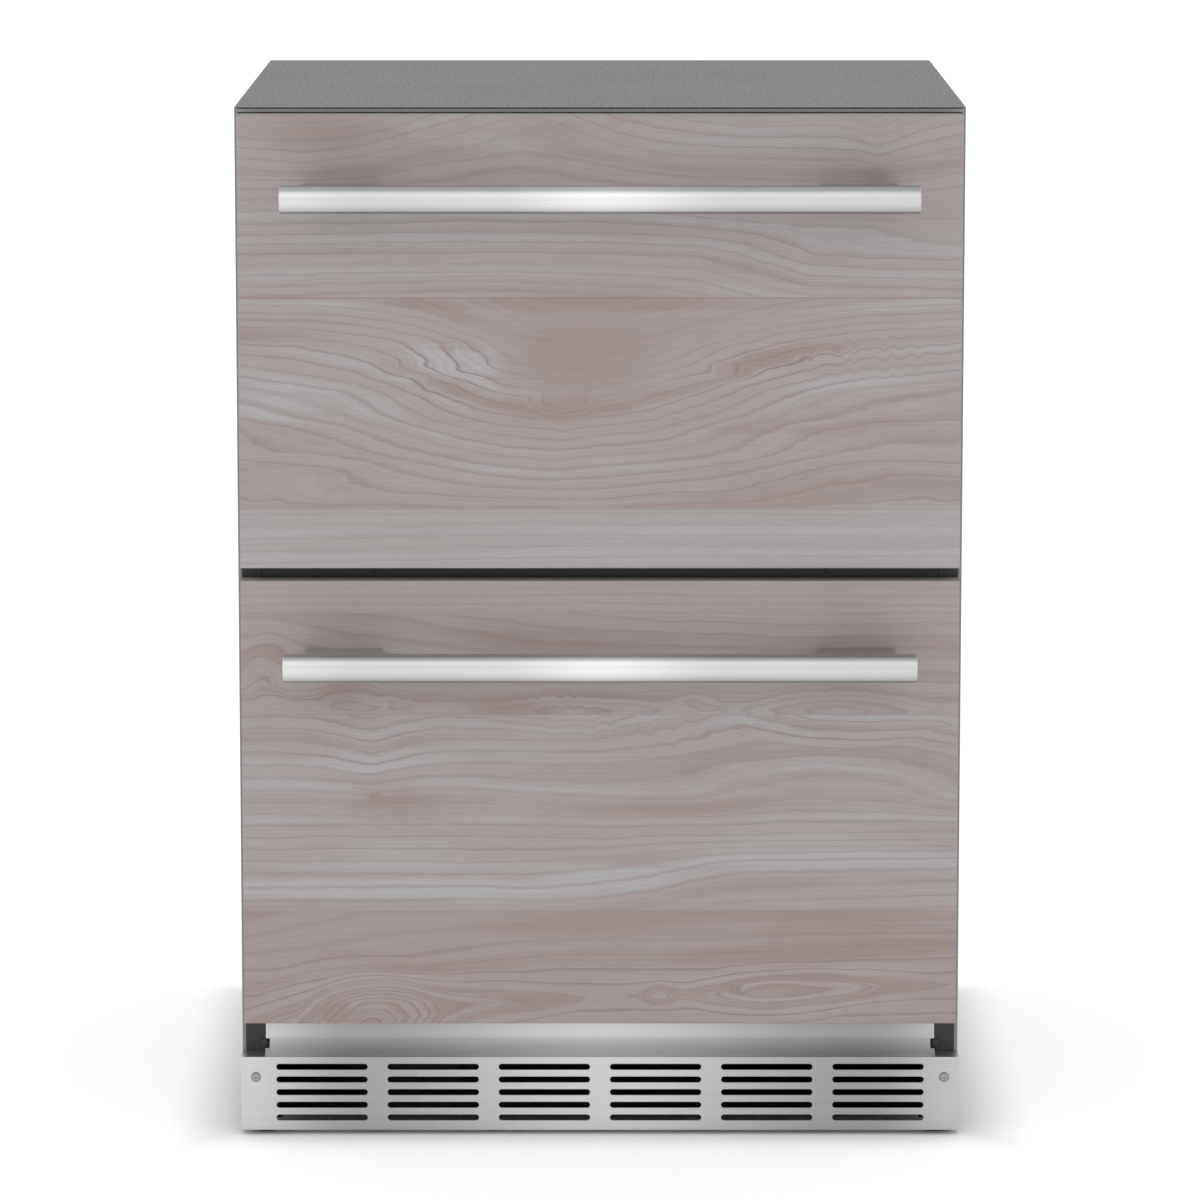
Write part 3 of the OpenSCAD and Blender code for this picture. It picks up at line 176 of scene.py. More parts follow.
class Shader(Nodes):
    """A material with one Principled shader, and short ways to add nodes in front of it."""

    def __init__(self, name: str) -> None:
        """Starts an empty material.

        Args:
            name: The material's name.
        """
        self.material = bpy.data.materials.new(name)
        self.material.use_nodes = True
        super().__init__(self.material.node_tree)
        self.tree.nodes.clear()
        output = self.tree.nodes.new("ShaderNodeOutputMaterial")
        self.surface = self.tree.nodes.new("ShaderNodeBsdfPrincipled")
        self.tree.links.new(self.surface.outputs[0], output.inputs["Surface"])
        self._place: Socket | None = None

    def set(self, **values: object) -> None:
        """Sets the Principled shader's sockets; an underscore in a name stands for a space.

        Args:
            values: A number, colour or output socket for each socket.
        """
        for name, value in values.items():
            self.feed(self.surface.inputs[name.replace("_", " ")], value)

    @property
    def place(self) -> Socket:
        """Object coordinates, which are metres in the shared frame."""
        if self._place is None:
            self._place = self.tree.nodes.new("ShaderNodeTexCoord").outputs["Object"]
        return self._place

    def attribute(self, name: str) -> Socket:
        """The number stored on the mesh under a name.

        Args:
            name: The attribute's name.

        Returns:
            The number output.
        """
        made = self.tree.nodes.new("ShaderNodeAttribute")
        made.attribute_name = name
        return made.outputs["Fac"]

    def stretched(self, scale: Sequence[float]) -> Socket:
        """Object coordinates multiplied along each axis.

        Args:
            scale: The factor along X, Y and Z.

        Returns:
            The vector output.
        """
        return self.node("Mapping", {"Vector": self.place, "Scale": tuple(scale)}).outputs[0]

    def noise(self, vector: Socket, scale: float, detail: float = 3.0, rough: float = 0.5) -> Socket:
        """Smooth noise between 0 and 1.

        Args:
            vector: Where it is read.
            scale: Features to a metre of the vector.
            detail: Octaves.
            rough: The weight of the finer octaves.

        Returns:
            The number output.
        """
        sockets = {"Vector": vector, "Scale": scale, "Detail": detail, "Roughness": rough}
        return self.node("TexNoise", sockets).outputs["Fac"]

    def line_noise(self, value: Socket, scale: float, detail: float = 2.0) -> Socket:
        """Noise along one number, so that it is the same wherever that number is the same.

        Args:
            value: The number it is read at.
            scale: Features to one unit.
            detail: Octaves.

        Returns:
            The number output.
        """
        sockets = {"W": value, "Scale": scale, "Detail": detail}
        return self.node("TexNoise", sockets, noise_dimensions="1D").outputs["Fac"]

    def ramp(self, value: Socket, low: float, high: float, start: float = 0.0, end: float = 1.0) -> Socket:
        """A clamped smooth change from one number to another.

        Args:
            value: The number that is read.
            low: Where the change starts.
            high: Where it ends.
            start: The result at or before low.
            end: The result at or after high.

        Returns:
            The number output.
        """
        sockets = {"Value": value, "From Min": low, "From Max": high, "To Min": start, "To Max": end}
        return self.node("MapRange", sockets, interpolation_type="SMOOTHSTEP").outputs["Result"]

    def stops(self, value: Socket, stops: Sequence[tuple[float, float]]) -> Socket:
        """A smooth grey scale through a few stops.

        Args:
            value: The number that is read, from 0 to 1.
            stops: Places in order, and the grey at each.

        Returns:
            The colour output.
        """
        made = self.node("ValToRGB", {"Fac": value})
        scale = made.color_ramp
        scale.interpolation = "EASE"
        while len(scale.elements) < len(stops):
            scale.elements.new(0.5)
        for element, (place, grey) in zip(scale.elements, stops):
            element.position = place
            element.color = (grey, grey, grey, 1.0)
        return made.outputs["Color"]

    def mix(self, factor: object, a: object, b: object, blend: str = "MIX") -> Socket:
        """Mixes two colours.

        Args:
            factor: The share of the second.
            a: The first colour.
            b: The second colour.
            blend: How they are mixed.

        Returns:
            The colour output.
        """
        made = self.node("Mix", {"Factor": factor}, data_type="RGBA", blend_type=blend)
        self.feed(made.inputs[6], a)
        self.feed(made.inputs[7], b)
        return made.outputs[2]

    def bump(self, height: Socket, distance: float, strength: float = 1.0) -> None:
        """Gives the surface relief.

        Args:
            height: The relief, from 0 to 1.
            distance: The relief's depth in metres.
            strength: How much of it shows.
        """
        made = self.node("Bump", {"Height": height, "Distance": distance, "Strength": strength})
        self.set(Normal=made.outputs[0])


# ------------------------------------------------------------------ finishes


@dataclass(frozen=True)
class Finish:
    """A surface finish: its name, the record's slot it belongs to, its colour and its roughness."""

    name: str
    slot: str
    colour: Colour
    rough: float = 0.5

    def build(self) -> bpy.types.Material:
        """Makes the material.

        Returns:
            The new material.
        """
        shader = Shader(self.name)
        shader.set(Base_Color=self.colour, Roughness=self.rough)
        self.dress(shader)
        return shader.material

    def dress(self, shader: Shader) -> None:
        """Adds what sets this kind of finish apart.

        Args:
            shader: The material's nodes.
        """

    def toned(self, factor: float) -> Colour:
        """The finish's colour, darker for a factor under 1 and lighter for one over it."""
        return tuple(c * factor for c in self.colour)


@dataclass(frozen=True)
class PowderCoat(Finish):
    """Baked powder paint: slightly pebbled, with fine light and dark specks.

    The shine changes slowly over clouds, counted to a metre. The rim is how much paler a plain edge is
    painted, as painted light.
    """

    speck: float = 0.25
    speck_size: float = 0.9 * MM
    pebble: float = 0.02 * MM
    rim: float = 0.0
    clouds: float = 9.0
    shine: float = 0.02

    def dress(self, shader: Shader) -> None:
        """Adds specks, pebbling, slow shine changes, and a plain rim painted paler as painted light where marked.

        Args:
            shader: The material's nodes.
        """
        grain = shader.noise(shader.place, 1 / self.speck_size, 2.0, 0.6)
        cloud = shader.noise(shader.place, self.clouds, 2.0)
        tone = shader.mix(shader.ramp(grain, 0.38, 0.64), self.toned(1 - self.speck), self.toned(1 + self.speck))
        # Painted light: the marked rim is painted a plain, paler tone.
        if self.rim:
            tone = shader.mix(shader.attribute("rim"), tone, self.toned(self.rim))
        rough = shader.ramp(cloud, 0.3, 0.7, self.rough - self.shine, self.rough + self.shine)
        shader.set(Base_Color=tone, Roughness=rough)
        shader.bump(grain, self.pebble, 0.6)


@dataclass(frozen=True)
class Brushed(Finish):
    """Rolled steel with fine scratches along one axis, and broad soft bands of painted reflection across it.

    Each band of painted reflection is a place from the left edge, 0, to the right edge, 1, and how bright the
    steel is painted there. The flank is how far the painted shade darkens the upper and lower sides of a bar
    towards the dark shade colour. The scratches are counted to a metre, across their run and along it.
    """

    along: Axis = Axis.X
    scratch: float = 0.05
    bands: tuple[tuple[float, float], ...] = ()
    half_width: float = 303 * MM
    metal: float = 1.0
    flank: float = 0.0
    edge_shade_colour: Colour = (0.1, 0.1, 0.1)
    across_count: float = 900.0
    along_count: float = 6.0
    depth: float = 0.01 * MM

    def dress(self, shader: Shader) -> None:
        """Adds the scratches, the painted shade on a bar's sides and the bands of painted reflection.

        Args:
            shader: The material's nodes.
        """
        scale = [self.across_count] * 3
        scale[self.along.value] = self.along_count
        lines = shader.noise(shader.stretched(scale), 1.0, 4.0, 0.65)
        dark, light = self.toned(1 - self.scratch), self.toned(1 + self.scratch)
        tone = shader.mix(shader.ramp(lines, 0.3, 0.7), dark, light)
        # Painted shade: where the mesh marks a bar's sides, the colour is mixed towards a dark shade colour.
        if self.flank:
            painted_edge_shade = shader.math("MULTIPLY", shader.attribute("flank"), self.flank)
            tone = shader.mix(painted_edge_shade, tone, self.edge_shade_colour)
        # Painted reflection: bright and dark bands across X, laid into the steel's colour.
        if self.bands:
            x = shader.node("SeparateXYZ", {0: shader.place}).outputs["X"]
            sockets = {"Value": x, "From Min": -self.half_width, "From Max": self.half_width}
            share = shader.node("MapRange", sockets).outputs["Result"]
            tone = shader.mix(1.0, tone, shader.stops(share, self.bands), "MULTIPLY")
        rough = shader.ramp(lines, 0.2, 0.8, self.rough - 0.06, self.rough + 0.06)
        shader.set(Base_Color=tone, Metallic=self.metal, Roughness=rough)
        shader.bump(lines, self.depth, 0.5)


@dataclass(frozen=True)
class ZincSheet(Finish):
    """Zinc-coated sheet with its large pale flakes, and a rolled skin counted to a metre."""

    flake: float = 9 * MM
    metal: float = 0.85
    skin: float = 400.0
    skin_depth: float = 0.02 * MM

    def dress(self, shader: Shader) -> None:
        """Adds the flakes and the skin.

        Args:
            shader: The material's nodes.
        """
        cells = shader.node("TexVoronoi", {"Vector": shader.place, "Scale": 1 / self.flake}).outputs["Color"]
        level = shader.node("SeparateColor", {0: cells}).outputs[0]
        rough = shader.ramp(level, 0.0, 1.0, self.rough - 0.08, self.rough + 0.1)
        tone = shader.mix(level, self.toned(0.9), self.toned(1.08))
        shader.set(Base_Color=tone, Metallic=self.metal, Roughness=rough)
        shader.bump(shader.noise(shader.place, self.skin), self.skin_depth, 0.4)


@dataclass(frozen=True)
class Moulding(Finish):
    """Moulded plastic or rubber with a fine erosion texture and faint clouds, counted to a metre."""

    texture: float = 0.03 * MM
    texture_size: float = 0.6 * MM
    coat: float = 0.0
    clouds: float = 7.0

    def dress(self, shader: Shader) -> None:
        """Adds the texture and the uneven tone.

        Args:
            shader: The material's nodes.
        """
        fine = shader.noise(shader.place, 1 / self.texture_size, 2.0, 0.6)
        cloud = shader.noise(shader.place, self.clouds, 2.0)
        tone = shader.mix(shader.ramp(cloud, 0.3, 0.7), self.toned(0.94), self.colour)
        rough = shader.ramp(cloud, 0.3, 0.7, self.rough - 0.04, self.rough + 0.04)
        shader.set(Base_Color=tone, Coat_Weight=self.coat, Roughness=rough)
        shader.bump(fine, self.texture, 0.5)


@dataclass(frozen=True)
class Foam(Finish):
    """Closed-cell foam, cut and foamed in place."""

    cell: float = 2.5 * MM
    cell_depth: float = 0.6 * MM

    def dress(self, shader: Shader) -> None:
        """Adds the cells.

        Args:
            shader: The material's nodes.
        """
        cells = shader.node("TexVoronoi", {"Vector": shader.place, "Scale": 1 / self.cell}).outputs["Distance"]
        shader.set(Base_Color=shader.mix(shader.ramp(cells, 0.1, 0.7), self.colour, self.toned(0.7)))
        shader.bump(cells, self.cell_depth, 0.8)


@dataclass(frozen=True)
class Copper(Finish):
    """Drawn copper, bright with clouds of brown tarnish, counted to a metre."""

    tarnish: Colour = (0.16, 0.075, 0.04)
    clouds: float = 60.0

    def dress(self, shader: Shader) -> None:
        """Adds the tarnish.

        Args:
            shader: The material's nodes.
        """
        cloud = shader.noise(shader.place, self.clouds, 4.0, 0.6)
        tone = shader.mix(shader.ramp(cloud, 0.45, 0.75), self.colour, self.tarnish)
        rough = shader.ramp(cloud, 0.4, 0.7, self.rough, self.rough + 0.25)
        shader.set(Base_Color=tone, Metallic=1.0, Roughness=rough)


@dataclass(frozen=True)
class Lens(Finish):
    """A diffusing lamp lens that glows a little, with fine ribs across it."""

    glow: float = 0.6
    rib_count: tuple[float, float, float] = (900.0, 20.0, 20.0)
    rib_depth: float = 0.05 * MM

    def dress(self, shader: Shader) -> None:
        """Adds the glow and the lens's fine ribs.

        Args:
            shader: The material's nodes.
        """
        ribs = shader.noise(shader.stretched(self.rib_count), 1.0, 1.0)
        shader.set(Emission_Color=self.colour, Emission_Strength=self.glow)
        shader.bump(ribs, self.rib_depth, 0.5)


@dataclass(frozen=True)
class PaintedGlowFloor(Finish):
    """A floor that glows as painted light, but not round the object, where the missing glow paints a soft shadow."""

    glow: float = 0.4
    half_width: float = 0.29
    half_depth: float = 0.24
    fade: float = 0.09

    def dress(self, shader: Shader) -> None:
        """Adds the painted glow, which fades out round the object and so paints its shadow there.

        Args:
            shader: The material's nodes.
        """
        place = shader.node("SeparateXYZ", {0: shader.place})
        beyond = (
            shader.math("SUBTRACT", shader.math("ABSOLUTE", place.outputs[name]), half)
            for name, half in (("X", self.half_width), ("Y", self.half_depth))
        )
        # Painted light and shadow: no glow over the object's footprint, rising to full over the fade beyond it.
        glow = shader.ramp(shader.math("MAXIMUM", *beyond), 0.0, self.fade, 0.0, self.glow)
        shader.set(Emission_Color=self.colour, Emission_Strength=glow)


@dataclass(frozen=True)
class Veneer(Finish):
    """Pale planked wood. The mesh carries the growth lines' count, tone, contrast and seams at every point.

    The shares say how dark the lines are, and the fine ones among them. The fine rate counts lines for one
    step of the growth, and the other counts are features to a metre along X, Y and Z.
    """

    line: Colour = (0.215, 0.150, 0.135)
    warm: Colour = (0.272, 0.213, 0.199)
    cool: Colour = (0.362, 0.349, 0.360)
    line_share: float = 0.46
    fine_share: float = 0.21
    fine_rate: float = 3.1
    fibre_count: tuple[float, float, float] = (12.0, 300.0, 700.0)
    pore_count: tuple[float, float, float] = (60.0, 300.0, 2600.0)
    broad_count: tuple[float, float, float] = (4.0, 1.0, 24.0)
    relief: float = 0.04 * MM

    def dress(self, shader: Shader) -> None:
        """Adds growth lines, plank tones, fibres and pores.

        Args:
            shader: The material's nodes.
        """
        growth, tone, contrast, seam = (shader.attribute(name) for name in ("growth", "tone", "contrast", "seam"))
        fibre = shader.noise(shader.stretched(self.fibre_count), 1.0, 5.0, 0.7)
        pore = shader.noise(shader.stretched(self.pore_count), 1.0, 2.0, 0.5)
        lines = shader.math("MULTIPLY", self.lines(shader, growth, fibre), contrast)
        dark = shader.math("MAXIMUM", shader.math("MULTIPLY", lines, self.line_share), seam)
        base = shader.mix(dark, self.bands(shader, growth, tone, contrast), self.line)
        fleck, speckle = shader.ramp(fibre, 0.3, 0.7, 0.95, 1.04), shader.ramp(pore, 0.3, 0.45, 0.93, 1.0)
        level = shader.math("MULTIPLY", fleck, speckle)
        grey = shader.node("CombineColor", {0: level, 1: level, 2: level}).outputs[0]
        rough = shader.ramp(fibre, 0.3, 0.7, self.rough, self.rough + 0.1)
        shader.set(Base_Color=shader.mix(1.0, base, grey, "MULTIPLY"), Roughness=rough)
        shader.bump(fibre, self.relief, 0.3)

    def lines(self, shader: Shader, growth: Socket, fibre: Socket) -> Socket:
        """Growth lines that darken slowly and end sharply, with fainter and finer ones among them.

        Args:
            shader: The material's nodes.
            growth: The growth lines' count.
            fibre: Fibre noise.

        Returns:
            How dark the lines are.
        """
        drift = shader.math("SUBTRACT", fibre, 0.5)
        ring = self.ring(shader, growth, 1.0, drift, 0.2)
        late = shader.math("POWER", shader.ramp(ring, 0.5, 0.95), 2.0)
        late = shader.math("MULTIPLY", late, shader.ramp(ring, 0.93, 1.0, 1.0, 0.0))
        strength = shader.ramp(shader.line_noise(growth, 0.9), 0.35, 0.65, 0.5, 1.0)
        fine = self.ring(shader, growth, self.fine_rate, drift, 0.5)
        fine_end = shader.ramp(fine, 0.9, 1.0, 1.0, 0.0)
        faint = shader.math("MULTIPLY", shader.ramp(fine, 0.3, 0.9, 0.0, self.fine_share), fine_end)
        return shader.math("ADD", shader.math("MULTIPLY", late, strength), faint)

    def bands(self, shader: Shader, growth: Socket, tone: Socket, contrast: Socket) -> Socket:
        """The wood between the lines, in broad cool and warm bands.

        Args:
            shader: The material's nodes.
            growth: The growth lines' count.
            tone: How much browner the wood is.
            contrast: How much its bands show.

        Returns:
            The colour output.
        """
        broad = shader.noise(shader.stretched(self.broad_count), 1.0, 3.0, 0.55)
        spread = shader.math("MULTIPLY", shader.math("SUBTRACT", broad, 0.5), 1.1)
        band = shader.math("ADD", shader.line_noise(growth, 0.5), spread)
        cool = shader.math("MULTIPLY", shader.ramp(band, 0.46, 0.76, 0.0, 1.0), contrast)
        warm = shader.math("MULTIPLY", shader.ramp(band, 0.52, 0.24, 0.0, 0.75), contrast)
        cool, warm = shader.math("SUBTRACT", cool, tone), shader.math("ADD", warm, tone)
        base = shader.mix(shader.ramp(cool, 0.0, 1.4), self.colour, self.cool)
        return shader.mix(shader.ramp(warm, 0.0, 1.5), base, self.warm)

    def ring(self, shader: Shader, growth: Socket, rate: float, drift: Socket, spread: float) -> Socket:
        """How far a point lies from one growth line to the next, from 0 to 1.

        Args:
            shader: The material's nodes.
            growth: The growth lines' count.
            rate: Lines for one step of the count.
            drift: Fibre noise that roughens the lines.
            spread: How much it does so.

        Returns:
            The number output.
        """
        count = shader.math("MULTIPLY", growth, rate)
        return shader.math("FRACT", shader.math("ADD", count, shader.math("MULTIPLY", drift, spread)))


# Bands of painted reflection: a place across the toe steel, or across a handle bar, and how bright it is painted
# there.
TOE_REFLECTION_BANDS = ((0.0, 1.0), (0.16, 0.62), (0.5, 1.0), (0.87, 0.56), (1.0, 0.86))
BAR_REFLECTION_BANDS = ((0.0, 0.86), (0.13, 0.76), (0.33, 0.8), (0.5, 1.0), (0.72, 0.76), (1.0, 0.74))
FINISHES: dict[str, Finish] = {
    f.name: f
    for f in (
        PowderCoat("dark_side_paint", "body_paint", (0.17, 0.172, 0.176), 0.45, speck=0.12),
        # The top sheet's front rim is painted paler, as painted light.
        PowderCoat("speckled_top_paint", "top_paint", (0.174, 0.175, 0.177), 0.6,
                   speck=0.5, speck_size=2.2 * MM, pebble=0.005 * MM, rim=1.5),
        PowderCoat("satin_black_paint", "black_paint", (0.013, 0.0135, 0.0145), 0.45, speck=0.2),
        PowderCoat("black_enamel", "compressor_paint", (0.016, 0.016, 0.018), 0.22, speck=0.1),
        ZincSheet("zinc_coated_sheet", "zinc_sheet", (0.42, 0.43, 0.435), 0.42),
        Brushed("brushed_stainless", "stainless", (0.565, 0.568, 0.575), 0.36, scratch=0.04, bands=TOE_REFLECTION_BANDS),
        # The cove's stainless is a paler, less metallic copy of the grille's: painted light for the recess.
        Brushed("cove_stainless", "stainless", (0.72, 0.725, 0.74), 0.5, scratch=0.02, bands=TOE_REFLECTION_BANDS, metal=0.5),
        # The handle steel carries bands of painted reflection, and painted shade on the bar's sides.
        Brushed("satin_handle_steel", "handle_steel", (0.77, 0.77, 0.78), 0.3,
                scratch=0.02, bands=BAR_REFLECTION_BANDS, half_width=262 * MM, flank=0.5),
        Brushed("screw_steel", "screw_steel", (0.35, 0.35, 0.36), 0.38),
        Brushed("bright_zinc_rail", "rail_steel", (0.55, 0.56, 0.58), 0.33, along=Axis.Y),
        Brushed("mill_aluminium", "fin_aluminium", (0.76, 0.77, 0.79), 0.3, along=Axis.Z),
        Foam("cabinet_foam", "foam", (0.75, 0.68, 0.42), 0.9),
        Moulding("white_liner", "liner_plastic", (0.80, 0.81, 0.82), 0.32, texture=0.01 * MM, coat=0.15),
        Moulding("bin_plastic", "bin_plastic", (0.74, 0.765, 0.785), 0.25, texture=0.01 * MM, coat=0.3),
        Moulding("divider_plastic", "divider_plastic", (0.62, 0.67, 0.70), 0.2, texture=0.005 * MM, coat=0.4),
        Moulding("soft_rubber", "rubber", (0.035, 0.035, 0.036), 0.7),
        Moulding("black_plastic", "black_plastic", (0.028, 0.028, 0.03), 0.5),
        Moulding("white_plastic", "white_plastic", (0.74, 0.74, 0.73), 0.45),
        Copper("drawn_copper", "copper", (0.80, 0.42, 0.24), 0.25),
        Lens("lamp_lens", "lamp", (0.95, 0.95, 0.9), 0.3),
        Veneer("pale_planked_wood", "wood", (0.325, 0.291, 0.285), 0.5),
    )
}


class Paintbox:
    """Builds each finish once and puts it on pieces and on CAD nodes."""

    def __init__(self) -> None:
        """Starts with no material built."""
        self.made: dict[str, bpy.types.Material] = {}

    def get(self, finish: str) -> bpy.types.Material:
        """The material of a finish.

        Args:
            finish: The finish's name.

        Returns:
            The material, the same one each time.
        """
        if finish not in self.made:
            self.made[finish] = FINISHES[finish].build()
        return self.made[finish]

    def paint(self, piece: bpy.types.Object, finish: str) -> None:
        """Puts a finish on a piece.

        Args:
            piece: The piece.
            finish: The finish's name.
        """
        piece.data.materials.clear()
        piece.data.materials.append(self.get(finish))


# ------------------------------------------------------------------ meshes


# Points that are closer together become one, and faces that turn less become one flat face.
SAME_POINT = 0.002 * MM
FLAT_DEGREES = 0.4


def new_object(name: str, mesh: bpy.types.Mesh) -> bpy.types.Object:
    """Puts a mesh in the scene as an object at the origin.

    Args:
        name: The object's name.
        mesh: Its mesh.

    Returns:
        The new object.
    """
    made = bpy.data.objects.new(name, mesh)
    bpy.context.scene.collection.objects.link(made)
    return made


def mesh_from(name: str, points: Iterable[Sequence[float]], faces: Iterable[Sequence[int]]) -> bpy.types.Object:
    """Makes an object from points and faces, with its normals turned outwards.

    Args:
        name: The object's name.
        points: The corners.
        faces: The corners' numbers for each face.

    Returns:
        The new object.
    """
    mesh = bpy.data.meshes.new(name)
    mesh.from_pydata([tuple(p) for p in points], [], [tuple(f) for f in faces])
    work = bmesh.new()
    work.from_mesh(mesh)
    bmesh.ops.recalc_face_normals(work, faces=work.faces)
    work.to_mesh(mesh)
    work.free()
    return new_object(name, mesh)


def quads(rows: int, count: int, closed: bool = True) -> list[tuple[int, int, int, int]]:
    """Faces with four corners between rows of points.

    Args:
        rows: How many rows there are.
        count: Points in each row.
        closed: Whether a row's last point joins its first.

    Returns:
        The corners' numbers for each face, row by row.
    """
    corners = [(k, (k + 1) % count) for k in range(count if closed else count - 1)]
    return [
        (row * count + k, row * count + n, (row + 1) * count + n, (row + 1) * count + k)
        for row in range(rows - 1)
        for k, n in corners
    ]


def store(piece: bpy.types.Object, name: str, values: Sequence[float]) -> None:
    """Keeps a number at every point of a piece, for its material to read.

    Args:
        piece: The piece.
        name: The name that the material reads.
        values: The numbers, in the points' order.
    """
    made = piece.data.attributes.new(name, "FLOAT", "POINT")
    made.data.foreach_set("value", np.asarray(values, dtype=np.float32))


def shade(piece: bpy.types.Object, angle: float = 32.0) -> bpy.types.Object:
    """Shades a piece smooth but for its sharp edges, and keeps its flat faces flat.

    Args:
        piece: The piece.
        angle: Edges that turn more than this many degrees stay sharp.

    Returns:
        The same piece.
    """
    piece.data.shade_smooth()
    piece.data.set_sharp_from_angle(angle=math.radians(angle))
    weighted = piece.modifiers.new("flat faces", "WEIGHTED_NORMAL")
    weighted.keep_sharp = True
    return piece


def eased(frame: dict, node: str, width: float, segments: int = 2, angle: float = 35.0) -> bpy.types.Object:
    """Copies a CAD node and eases its sharp edges, so that they catch the light.

    Args:
        node: The CAD node.
        width: How far from the edge the easing starts.
        segments: Faces across the easing.
        angle: Edges that turn more than this many degrees are eased.

    Returns:
        The new piece, which rides on the node's body and stands for the node.
    """
    work = bmesh.new()
    work.from_mesh(frame["nodes"][node].data)
    bmesh.ops.remove_doubles(work, verts=work.verts, dist=SAME_POINT)
    flat, sharp_angle = math.radians(FLAT_DEGREES), math.radians(angle)
    bmesh.ops.dissolve_limit(work, angle_limit=flat, verts=work.verts, edges=work.edges)
    sharp = [e for e in work.edges if len(e.link_faces) == 2 and e.calc_face_angle(0.0) > sharp_angle]
    bmesh.ops.bevel(work, geom=sharp, offset=width, segments=segments, profile=0.5, affect="EDGES",
                    clamp_overlap=True)
    mesh = bpy.data.meshes.new(node + "_eased")
    work.to_mesh(mesh)
    work.free()
    piece = shade(new_object(node + "_dressed", mesh))
    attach(piece, frame["nodes"][node]["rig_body"])
    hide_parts(node)
    return piece


def swept(name: str, outline: Sequence[tuple[float, float]], axis: Axis, start: float, end: float,
          bevel: float) -> bpy.types.Object:
    """Makes a bar of one section with its two ends eased.

    Args:
        name: The object's name.
        outline: The section in the two other axes, in their order.
        axis: The axis it runs along.
        start: Where it starts.
        end: Where it ends.
        bevel: The width of the easing at the ends.

    Returns:
        The new object.
    """
    section = np.array(outline)
    middle = section.mean(axis=0)
    reach = np.abs(section - middle).max(axis=0)
    points, count = [], len(section)
    rows = ((start, bevel), (start + bevel, 0.0), (end - bevel, 0.0), (end, bevel))
    for place, inset in rows:
        for pair in middle + (section - middle) * (1 - inset / reach):
            p = list(pair)
            p.insert(axis.value, place)
            points.append(p)
    ends = [tuple(range(count)), tuple(range((len(rows) - 1) * count, len(rows) * count))]
    return mesh_from(name, points, quads(len(rows), count) + ends)


def screw_head(name: str, radius: float, height: float, axis: Axis, way: int) -> bpy.types.Object:
    """Makes a domed screw head with a six-sided socket, standing on the origin.

    Args:
        name: The object's name.
        radius: Its radius.
        height: Its height.
        axis: The axis it points along.
        way: 1 to point up that axis, -1 to point down it.

    Returns:
        The new object.
    """
    around, hexagon = 18, 6
    rings = ((1.0, 0.0, around), (1.0, 0.35, around), (0.82, 0.8, around), (0.5, 1.0, around),
             (0.42, 1.0, hexagon), (0.4, 0.4, hexagon))
    points = []
    for share, rise, sides in rings:
        for k in range(around):
            corner = round(k * sides / around) * 2 * math.pi / sides
            p = [radius * share * math.cos(corner), radius * share * math.sin(corner)]
            p.insert(axis.value, way * height * rise)
            points.append(p)
    socket_floor = tuple(range((len(rings) - 1) * around, len(rings) * around))
    head = mesh_from(name, points, quads(len(rings), around) + [socket_floor])
    work = bmesh.new()
    work.from_mesh(head.data)
    bmesh.ops.remove_doubles(work, verts=work.verts, dist=SAME_POINT / 2)
    bmesh.ops.dissolve_degenerate(work, edges=work.edges, dist=SAME_POINT / 20)
    work.to_mesh(head.data)
    work.free()
    return head


# ------------------------------------------------------------------ geometry nodes


class Pattern(Nodes):
    """A Geometry Nodes tree with named inputs and a material at its end."""

    prefix = "GeometryNode"

    def __init__(self, name: str) -> None:
        """Starts a tree that takes in and gives out geometry.

        Args:
            name: The tree's name.
        """
        super().__init__(bpy.data.node_groups.new(name, "GeometryNodeTree"))
        face = self.tree.interface
        face.new_socket("Geometry", in_out="INPUT", socket_type="NodeSocketGeometry")
        face.new_socket("Geometry", in_out="OUTPUT", socket_type="NodeSocketGeometry")
        self.keys: dict[str, str] = {}
        self.start = self.tree.nodes.new("NodeGroupInput")
        self.end = self.tree.nodes.new("NodeGroupOutput")

    def input(self, name: str, kind: str) -> Socket:
        """Adds a named input.

        Args:
            name: Its name.
            kind: Its socket type after NodeSocket.

        Returns:
            The output that carries it inside the tree.
        """
        item = self.tree.interface.new_socket(name, in_out="INPUT", socket_type="NodeSocket" + kind)
        self.keys[name] = item.identifier
        return self.start.outputs[name]

    def finish(self, geometry: Socket) -> Pattern:
        """Ends the tree with Realize Instances and Set Material.

        Args:
            geometry: What the tree has made.

        Returns:
            This pattern.
        """
        material = self.input("Material", "Material")
        real = self.node("RealizeInstances", {0: geometry}).outputs[0]
        last = self.node("SetMaterial", {"Geometry": real, "Material": material}).outputs[0]
        self.tree.links.new(last, self.end.inputs[0])
        return self

    def run(self, name: str, paint: bpy.types.Material, carrier: bpy.types.Mesh | None = None,
            **values: object) -> bpy.types.Object:
        """Runs the tree once and keeps the result as a plain mesh.

        Args:
            name: The new object's name.
            paint: The material.
            carrier: The mesh that the tree starts from.
            values: The named inputs; an underscore stands for a space.

        Returns:
            The new object.
        """
        holder = new_object(name + "_carrier", carrier or bpy.data.meshes.new(name + "_carrier"))
        modifier = holder.modifiers.new("pattern", "NODES")
        modifier.node_group = self.tree
        modifier[self.keys["Material"]] = paint
        for key, value in values.items():
            modifier[self.keys[key.replace("_", " ")]] = value
        graph = bpy.context.evaluated_depsgraph_get()
        mesh = bpy.data.meshes.new_from_object(holder.evaluated_get(graph), depsgraph=graph)
        mesh.name = name
        bpy.data.objects.remove(holder)
        return new_object(name, mesh)


def scatter_pattern() -> Pattern:
    """Copies a small piece to every point of the carrier mesh.

    Returns:
        The finished pattern, with the input Piece.
    """
    made = Pattern("copies on points")
    piece = made.node("ObjectInfo", {"Object": made.input("Piece", "Object")}).outputs["Geometry"]
    copies = made.node("InstanceOnPoints", {"Points": made.start.outputs[0], "Instance": piece}).outputs[0]
    return made.finish(copies)


